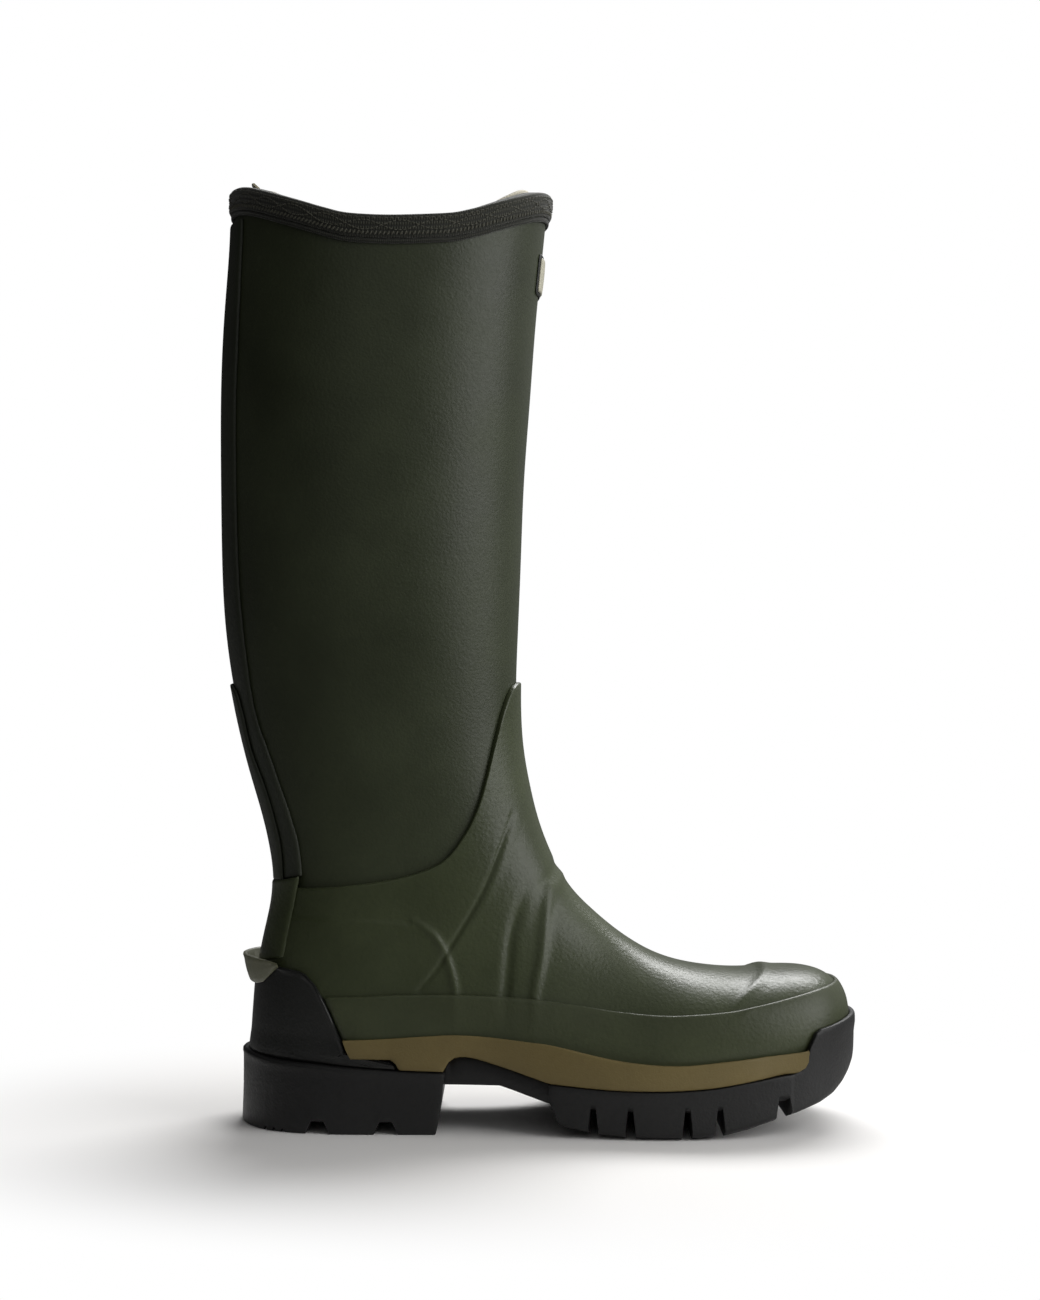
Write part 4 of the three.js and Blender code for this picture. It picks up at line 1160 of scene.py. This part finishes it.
# %% Rubber
def rubber(name, colour, roughness=0.5, grain=1.0, spread=0.22, scuff=0.12, cells=620.0, **settings):
    """Moulded rubber: leather-like grain, slow tone changes, faint scuffs, duller patches."""
    material, tree, shader = new_material(name, roughness, **settings)
    where = tree.nodes.new("ShaderNodeTexCoord").outputs["Object"]
    fine = noise_on(tree, where, 1500, 3, 0.6)
    wrinkle = noise_on(tree, where, 520, 5, 0.62)
    slow = noise_on(tree, where, 22, 4, 0.55)
    cell = add_node(tree, "ShaderNodeTexVoronoi", {"Scale": cells, "Randomness": 1.0}, feature="SMOOTH_F1")
    bent = add_node(tree, "ShaderNodeVectorMath", operation="MULTIPLY_ADD")
    soft = add_node(tree, "ShaderNodeTexNoise", {"Scale": 300.0, "Detail": 2.0})
    tree.links.new(where, soft.inputs["Vector"])
    tree.links.new(soft.outputs["Color"], bent.inputs[0])
    bent.inputs[1].default_value = (0.0016, 0.0016, 0.0016)
    tree.links.new(where, bent.inputs[2])
    tree.links.new(bent.outputs["Vector"], cell.inputs["Vector"])
    relief = math_on(tree, "ADD", math_on(tree, "MULTIPLY", cell.outputs["Distance"], 0.75),
                     math_on(tree, "MULTIPLY", wrinkle, 0.7))
    normal = bump_on(tree, relief, 0.34 * grain, 0.0006)
    normal = bump_on(tree, fine, 0.22 * grain, 0.00025, normal)
    tree.links.new(normal, shader.inputs["Normal"])
    base = linear(colour)
    dark = tuple(c * (1 - spread) for c in base[:3]) + (1,)
    light = tuple(min(1, c * (1 + spread)) for c in base[:3]) + (1,)
    tone = ramp_on(tree, slow, [(0.3, dark), (0.52, base), (0.72, light)])
    tone = mix_on(tree, range_on(tree, wrinkle, 0.35, 0.7, 0.0, 0.35), tone, dark)
    worn = math_on(tree, "MULTIPLY", range_on(tree, noise_on(tree, where, 95, 6, 0.7), 0.62, 0.74, 0.0, 1.0),
                   range_on(tree, noise_on(tree, where, 14, 2), 0.5, 0.65, 0.0, scuff * 3))
    pale = tuple(min(1, c * 1.5 + 0.012) for c in base[:3]) + (1,)
    tree.links.new(mix_on(tree, worn, tone, pale), shader.inputs["Base Color"])
    rough = math_on(tree, "ADD", range_on(tree, slow, 0.3, 0.7, roughness - 0.05, roughness + 0.06),
                    range_on(tree, wrinkle, 0.3, 0.7, -0.04, 0.05))
    tree.links.new(rough, shader.inputs["Roughness"])
    return material


LEG_RUBBER = rubber("leg green rubber", (55, 61, 41), 0.42, 0.6, cells=850.0, Specular_IOR_Level=0.38)
STAY_RUBBER = rubber("stay green rubber", (44, 49, 35), 0.48, 0.7)
FOOT_RUBBER = rubber("foot green rubber", (62, 69, 44), 0.36, 0.7, Specular_IOR_Level=0.42)
GUARD_RUBBER = rubber("mudguard green rubber", (62, 68, 44), 0.42, 0.65, Specular_IOR_Level=0.42)
CUP_RUBBER = rubber("black cup rubber", (26, 27, 25), 0.42, 0.5, cells=900.0)
TREAD_RUBBER = rubber("black tread rubber", (20, 20, 20), 0.48, 0.7, scuff=0.2, cells=900.0,
                      Specular_IOR_Level=0.4)
SPUR_RUBBER = rubber("pale spur rubber", (108, 109, 86), 0.42, 0.4, cells=900.0)
MIDSOLE_RUBBER = rubber("olive midsole foam", (108, 94, 53), 0.62, 0.55, spread=0.12, cells=1400.0)
BADGE_BACKING = rubber("badge backing rubber", (36, 38, 34), 0.5, 0.4, cells=1200.0)
BADGE_FACE = rubber("badge enamel", (206, 202, 180), 0.35, 0.25, spread=0.06, cells=1800.0, Coat_Weight=0.2)
print("rubber finishes made")

# %% [markdown]
# ## Woven and felted finishes
# The webbing has ribs across and threads along. Its texture coordinates are lengths in metres, so two wave
# textures at right angles give threads of the right width. Felt and knit have no direction that matters at
# this size, so they are noise with a soft sheen.

# %% Webbing, knit, felt, board and steel
def webbing(name, colour, dark, thread=0.0011, rib=0.0021, roughness=0.85):
    """Woven band: wave textures along and across, tone broken up between threads."""
    material, tree, shader = new_material(name, roughness, Sheen_Weight=0.25, Sheen_Roughness=0.45)
    uv = tree.nodes.new("ShaderNodeTexCoord").outputs["UV"]
    waves = []
    for direction, size in (("X", thread), ("Y", rib)):
        node = add_node(tree, "ShaderNodeTexWave", {"Scale": math.pi / (10 * size), "Distortion": 0.6,
                                                    "Detail": 1.0, "Detail Scale": 1.0},
                        wave_type="BANDS", bands_direction=direction)
        tree.links.new(uv, node.inputs["Vector"])
        waves.append(node.outputs["Fac"])
    woven = math_on(tree, "MULTIPLY", waves[0], waves[1])
    fuzz = noise_on(tree, uv, 2400, 3)
    relief = math_on(tree, "ADD", woven, math_on(tree, "MULTIPLY", fuzz, 0.35))
    tree.links.new(bump_on(tree, relief, 0.7, 0.0004), shader.inputs["Normal"])
    tone = ramp_on(tree, woven, [(0.05, linear(dark)), (0.6, linear(colour))])
    uneven = noise_on(tree, uv, 60, 3)
    tone = mix_on(tree, range_on(tree, uneven, 0.35, 0.7, 0.0, 0.45), tone, linear(dark))
    tree.links.new(tone, shader.inputs["Base Color"])
    dull = range_on(tree, fuzz, 0.3, 0.7, roughness - 0.08, roughness + 0.08)
    tree.links.new(dull, shader.inputs["Roughness"])
    return material


def felt(name, colour, dark, size=900.0, depth=0.0004, knit=False):
    """Brushed or felted cloth: fibres as stretched noise, a soft sheen and a few darker spots."""
    material, tree, shader = new_material(name, 0.95, Sheen_Weight=0.4, Sheen_Roughness=0.5)
    where = tree.nodes.new("ShaderNodeTexCoord").outputs["UV" if knit else "Object"]
    fibre = noise_on(tree, where, size, 6, 0.7)
    clump = noise_on(tree, where, size / 9, 3)
    relief = math_on(tree, "ADD", fibre, math_on(tree, "MULTIPLY", clump, 0.6))
    if knit:
        rib = add_node(tree, "ShaderNodeTexWave", {"Scale": 160.0, "Distortion": 1.5, "Detail": 1.0},
                       wave_type="BANDS", bands_direction="X")
        tree.links.new(where, rib.inputs["Vector"])
        relief = math_on(tree, "ADD", relief, math_on(tree, "MULTIPLY", rib.outputs["Fac"], 0.7))
    tree.links.new(bump_on(tree, relief, 0.6, depth), shader.inputs["Normal"])
    tone = ramp_on(tree, relief, [(0.35, linear(dark)), (0.95, linear(colour))])
    tree.links.new(tone, shader.inputs["Base Color"])
    dull = range_on(tree, clump, 0.3, 0.7, 0.87, 0.98)
    tree.links.new(dull, shader.inputs["Roughness"])
    return material


RIM_WEBBING = webbing("rim webbing", (66, 66, 54), (34, 35, 28))
RIM_TAPE = webbing("rim tape", (58, 58, 46), (30, 31, 25), thread=0.0009, rib=0.0011)
TAB_WEBBING = webbing("pull tab webbing", (214, 208, 186), (160, 152, 126), thread=0.001, rib=0.0013)
THREAD = webbing("sewing thread", (120, 118, 98), (74, 73, 60), thread=0.0005, rib=0.0005, roughness=0.7)
PALE_KNIT = felt("pale knit", (222, 216, 196), (176, 168, 144), knit=True)
NEOPRENE = felt("neoprene knit face", (74, 77, 72), (42, 44, 41), size=1300.0, knit=True, depth=0.0002)
SOCK_FELT = felt("sock felt", (80, 82, 76), (46, 48, 44), size=700.0)
BED_FELT = felt("footbed felt", (98, 106, 88), (58, 64, 52), size=800.0)
BOARD = felt("pressed fibre board", (172, 154, 120), (128, 112, 84), size=500.0, depth=0.0002)
STIFFENER = felt("stiffener board", (150, 140, 116), (112, 102, 82), size=600.0, depth=0.0002)


def brushed_steel(name):
    material, tree, shader = new_material(name, 0.35, Metallic=1.0)
    where = tree.nodes.new("ShaderNodeTexCoord").outputs["Object"]
    turn = add_node(tree, "ShaderNodeMapping")
    turn.inputs["Scale"].default_value = (1.0, 40.0, 1.0)
    tree.links.new(where, turn.inputs["Vector"])
    streak = noise_on(tree, turn.outputs["Vector"], 120, 4)
    tree.links.new(ramp_on(tree, streak, [(0.3, linear((150, 152, 154))), (0.7, linear((196, 198, 200)))]),
                   shader.inputs["Base Color"])
    tree.links.new(range_on(tree, streak, 0.3, 0.7, 0.28, 0.42), shader.inputs["Roughness"])
    tree.links.new(bump_on(tree, streak, 0.3, 0.0001), shader.inputs["Normal"])
    return material


SHANK_STEEL = brushed_steel("brushed shank steel")
print("finishes:", len(bpy.data.materials))

# %% [markdown]
# ## Stitches with Geometry Nodes
# Hundreds of stitches follow the rim, so they are not modelled one by one. A node tree puts one small
# rounded stitch at even steps along a guide line, turns it to lie on the webbing and leans it to one side.
# The guide line carries the outward direction as an attribute.

# %% Stitch tree
def stitch_tree():
    tree = bpy.data.node_groups.new("stitches along a line", "GeometryNodeTree")
    face = tree.interface
    face.new_socket("Geometry", in_out="INPUT", socket_type="NodeSocketGeometry")
    for label, value in (("Spacing", 0.002), ("Stitch Length", 0.002), ("Thread", 0.0005), ("Lean", 0.0)):
        face.new_socket(label, in_out="INPUT", socket_type="NodeSocketFloat").default_value = value
    face.new_socket("Material", in_out="INPUT", socket_type="NodeSocketMaterial")
    face.new_socket("Geometry", in_out="OUTPUT", socket_type="NodeSocketGeometry")
    start = add_node(tree, "NodeGroupInput")
    end = add_node(tree, "NodeGroupOutput")
    curve = add_node(tree, "GeometryNodeMeshToCurve")
    even = add_node(tree, "GeometryNodeResampleCurve", mode="LENGTH")
    ball = add_node(tree, "GeometryNodeMeshUVSphere", {"Segments": 8, "Rings": 5, "Radius": 0.5})
    size = add_node(tree, "ShaderNodeCombineXYZ")
    outward = add_node(tree, "GeometryNodeInputNamedAttribute", {"Name": "outward"}, data_type="FLOAT_VECTOR")
    tangent = add_node(tree, "GeometryNodeInputTangent")
    upright = add_node(tree, "FunctionNodeAlignRotationToVector", axis="Z")
    facing = add_node(tree, "FunctionNodeAlignRotationToVector", axis="X", pivot_axis="Z")
    lean = add_node(tree, "FunctionNodeAxisAngleToRotation", {"Axis": (0, 0, 1)})
    turned = add_node(tree, "FunctionNodeRotateRotation", rotation_space="LOCAL")
    place = add_node(tree, "GeometryNodeInstanceOnPoints")
    real = add_node(tree, "GeometryNodeRealizeInstances")
    paint = add_node(tree, "GeometryNodeSetMaterial")
    for source, output, target, socket in (
            (start, "Geometry", curve, "Mesh"), (curve, "Curve", even, "Curve"),
            (start, "Spacing", even, "Length"), (even, "Curve", place, "Points"),
            (ball, "Mesh", place, "Instance"), (start, "Stitch Length", size, "X"),
            (start, "Thread", size, "Y"), (start, "Thread", size, "Z"), (size, "Vector", place, "Scale"),
            (outward, "Attribute", upright, "Vector"), (upright, "Rotation", facing, "Rotation"),
            (tangent, "Tangent", facing, "Vector"), (facing, "Rotation", turned, "Rotation"),
            (start, "Lean", lean, "Angle"), (lean, "Rotation", turned, "Rotate By"),
            (turned, "Rotation", place, "Rotation"), (place, "Instances", real, "Geometry"),
            (real, "Geometry", paint, "Geometry"), (start, "Material", paint, "Material"),
            (paint, "Geometry", end, "Geometry")):
        tree.links.new(source.outputs[output], target.inputs[socket])
    return tree


STITCHES = stitch_tree()


def sew(name, points, outward, spacing, length, thread, lean, material):
    """Run the stitch tree along a closed line of points and keep the result as a mesh."""
    mesh = bpy.data.meshes.new(name)
    n = len(points)
    mesh.from_pydata([tuple(p) for p in points * MM], [(i, (i + 1) % n) for i in range(n)], [])
    attribute = mesh.attributes.new("outward", "FLOAT_VECTOR", "POINT")
    attribute.data.foreach_set("vector", outward.astype(np.float32).ravel())
    obj = bpy.data.objects.new(name, mesh)
    bpy.context.scene.collection.objects.link(obj)
    modifier = obj.modifiers.new("stitches", "NODES")
    modifier.node_group = STITCHES
    wanted = {"Spacing": spacing, "Stitch Length": length, "Thread": thread, "Lean": lean,
              "Material": material}
    for item in STITCHES.interface.items_tree:
        if item.in_out == "INPUT" and item.name in wanted:
            modifier[item.identifier] = wanted[item.name]
    keep_evaluated(obj)
    obj.data.shade_smooth()
    PIECES[name] = obj


# %% [markdown]
# ## Sewing the rim
# Three kinds of seam hold the webbing: a slanted whip stitch near its lower edge, a straight row near the top
# and two waves that cross each other. Each is one guide line round the rim with its own stitch size.

# %% Sew the rim
def rim_thread(drop, lift):
    """Points and outward directions along the rim; drop may change round the rim."""
    angles = np.linspace(0, 2 * np.pi, 720, endpoint=False)
    drop = drop(angles) if callable(drop) else np.full(len(angles), float(drop))
    t = find_t(angles, under(RIM, drop), 0.0, 0.2)
    return last_point(t, angles, np.full(len(angles), lift)), last_normal(t, angles)


WAVES = 14  # full waves round the rim
# Spacing, stitch length and thread in metres, then the lean.
sew("whip_stitches", *rim_thread(8.4, 2.1), 0.0019, 0.0024, 0.00075, math.radians(58), THREAD)
sew("top_stitches", *rim_thread(1.7, 2.2), 0.0026, 0.0021, 0.0005, 0.0, THREAD)
for number, phase in enumerate((0.0, math.pi)):
    sew(f"wave_stitches_{number + 1}",
        *rim_thread(lambda a: 5.0 + 2.1 * np.sin(WAVES * a + phase), 2.4),
        0.0021, 0.0018, 0.00055, 0.0, THREAD)
print("stitch pieces:", [name for name in PIECES if "stitch" in name])

# %% [markdown]
# ## Give each piece its finish and its place in the frame
# Every visible solid of the frame is replaced by a smooth piece that rides on the same body. The solids
# that are hidden inside the boot keep their shape and only get a finish.

# %% Finishes and frame
# Piece, the solid it replaces, and its finish.
REPLACES = [
    ("leg_rubber", "leg_shell", LEG_RUBBER), ("leg_neoprene", "leg_lining", NEOPRENE),
    ("back_stay_rubber", "back_stay", STAY_RUBBER), ("spine_strip_rubber", "spine_strip", STAY_RUBBER),
    ("rim_webbing", "top_binding", RIM_WEBBING), ("rim_tape", "edge_tape", RIM_TAPE),
    ("knit_facing", "collar_facing", PALE_KNIT), ("pull_tab", "pull_loop", TAB_WEBBING),
    ("badge_base", "badge_backing", BADGE_BACKING), ("badge_face", "badge_plate", BADGE_FACE),
    ("foot_sock", "foot_insulation", SOCK_FELT), ("foot_shell", "vamp", FOOT_RUBBER),
    ("mudguard_rubber", "mudguard", GUARD_RUBBER), ("heel_strip_rubber", "heel_strip", FOOT_RUBBER),
    ("heel_cup_rubber", "heel_cup", CUP_RUBBER), ("kick_spur_cup", "kick_spur", SPUR_RUBBER),
    ("loose_footbed", "footbed", BED_FELT), ("heel_block_rubber", "heel_block", TREAD_RUBBER),
    ("midsole_foam", "midsole", MIDSOLE_RUBBER), ("waist_plate_rubber", "waist_plate", TREAD_RUBBER),
    ("outsole_rubber", "forefoot_outsole", TREAD_RUBBER),
]
for name, node, material in REPLACES:
    piece = PIECES[name]
    piece.data.materials.clear()
    piece.data.materials.append(material)
    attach(piece, "footbed" if node == "footbed" else "boot")
    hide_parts(node)
for name in ("whip_stitches", "top_stitches", "wave_stitches_1", "wave_stitches_2"):
    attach(PIECES[name], "boot")
for node, material in (("insole_board", BOARD), ("steel_shank", SHANK_STEEL), ("heel_counter", STIFFENER),
                       ("toe_puff", STIFFENER)):
    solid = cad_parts[node]
    solid.data.materials.clear()
    solid.data.materials.append(material)
print("pieces placed:", len(REPLACES))

# %% [markdown]
# ## Floor
# The boot stands on plain white with a soft shadow. The floor turns to plain white a little way from the
# boot, so that no horizon shows.

# %% Floor
floor_mesh = bpy.data.meshes.new("floor")
floor_mesh.from_pydata([(-4, -4, 0), (4, -4, 0), (4, 4, 0), (-4, 4, 0)], [], [(0, 1, 2, 3)])
floor = bpy.data.objects.new("floor", floor_mesh)
bpy.context.scene.collection.objects.link(floor)
paper, tree, shader = new_material("white paper", 0.7)
shader.inputs["Base Color"].default_value = (0.95, 0.935, 0.92, 1)
where = tree.nodes.new("ShaderNodeTexCoord").outputs["Object"]
flat = add_node(tree, "ShaderNodeMapping", {"Scale": (1.0, 1.25, 1.0)})
tree.links.new(where, flat.inputs["Vector"])
reach = add_node(tree, "ShaderNodeVectorMath", operation="LENGTH")
tree.links.new(flat.outputs["Vector"], reach.inputs[0])
away = add_node(tree, "ShaderNodeMapRange", {"From Min": 0.15, "From Max": 0.34},
                interpolation_type="SMOOTHSTEP")
tree.links.new(reach.outputs["Value"], away.inputs["Value"])
glow = add_node(tree, "ShaderNodeEmission", {"Color": (1, 1, 1, 1)})
ray = add_node(tree, "ShaderNodeLightPath")
tree.links.new(range_on(tree, ray.outputs["Is Camera Ray"], 0, 1, 0.12, 1.0), glow.inputs["Strength"])
mix = add_node(tree, "ShaderNodeMixShader")
tree.links.new(away.outputs["Result"], mix.inputs["Fac"])
tree.links.new(shader.outputs["BSDF"], mix.inputs[1])
tree.links.new(glow.outputs["Emission"], mix.inputs[2])
tree.links.new(mix.outputs["Shader"], tree.nodes["Material Output"].inputs["Surface"])
floor_mesh.materials.append(paper)

# %% [markdown]
# ## Lights
# A large soft light ahead of the toe draws the bright band down the shin, and one above the far side lights
# the instep and the toe. A weak one fills the side that faces the camera. The world is white where it is
# seen, but lights the boot only a little, most from above and ahead of the toe.

# %% Lights and world
scene = bpy.context.scene
scene.view_settings.view_transform = "Standard"
scene.view_settings.look = "None"


def soft_light(name, place, target, width, height, power):
    """A rectangular soft light at a place, turned towards a target; metres and watts."""
    light = bpy.data.lights.new(name, "AREA")
    light.shape = "RECTANGLE"
    light.size, light.size_y = width, height
    light.energy = power
    obj = bpy.data.objects.new(name, light)
    scene.collection.objects.link(obj)
    obj.location = place
    obj.rotation_euler = (Vector(target) - Vector(place)).to_track_quat("-Z", "Y").to_euler()


soft_light("key ahead of the toe", (1.15, -0.5, 0.6), (0.0, 0.0, 0.2), 1.1, 1.3, 11)
soft_light("overhead", (0.3, 0.85, 1.1), (0.1, 0.0, 0.06), 1.0, 0.5, 17)
soft_light("fill by the camera", (-0.3, -1.6, 0.8), (0.0, 0.0, 0.2), 1.0, 1.0, 0.9)

world = bpy.data.worlds.new("studio")
scene.world = world
world.use_nodes = True
tree = world.node_tree
ray = add_node(tree, "ShaderNodeLightPath")
seen = tree.nodes["Background"]
seen.inputs["Color"].default_value = (1, 1, 1, 1)
seen.inputs["Strength"].default_value = 1.0
dim = add_node(tree, "ShaderNodeBackground", {"Color": (1, 1, 1, 1)})
towards = add_node(tree, "ShaderNodeVectorMath", operation="DOT_PRODUCT")
towards.inputs[1].default_value = (0.80, 0.0, 0.60)
tree.links.new(add_node(tree, "ShaderNodeTexCoord").outputs["Generated"], towards.inputs[0])
tree.links.new(range_on(tree, towards.outputs["Value"], 0.0, 1.0, 0.025, 0.6), dim.inputs["Strength"])
choose = add_node(tree, "ShaderNodeMixShader")
tree.links.new(ray.outputs["Is Camera Ray"], choose.inputs["Fac"])
tree.links.new(dim.outputs["Background"], choose.inputs[1])
tree.links.new(seen.outputs["Background"], choose.inputs[2])
tree.links.new(choose.outputs["Shader"], tree.nodes["World Output"].inputs["Surface"])

# %% [markdown]
# ## Camera
# The boot is seen level from its outer side, from a little over a metre away and with a long lens. The camera
# is not tilted, which keeps the leg upright.

# %% Camera
camera_data = bpy.data.cameras.new("camera")
camera_data.sensor_width = 36
camera_data.lens = 66.1
camera = bpy.data.objects.new("camera", camera_data)
scene.collection.objects.link(camera)
camera.location = (-0.0083, -1.1, 0.215)
camera.rotation_euler = (math.pi / 2, 0, 0)
scene.camera = camera
print("camera looks along +Y from", tuple(camera.location))
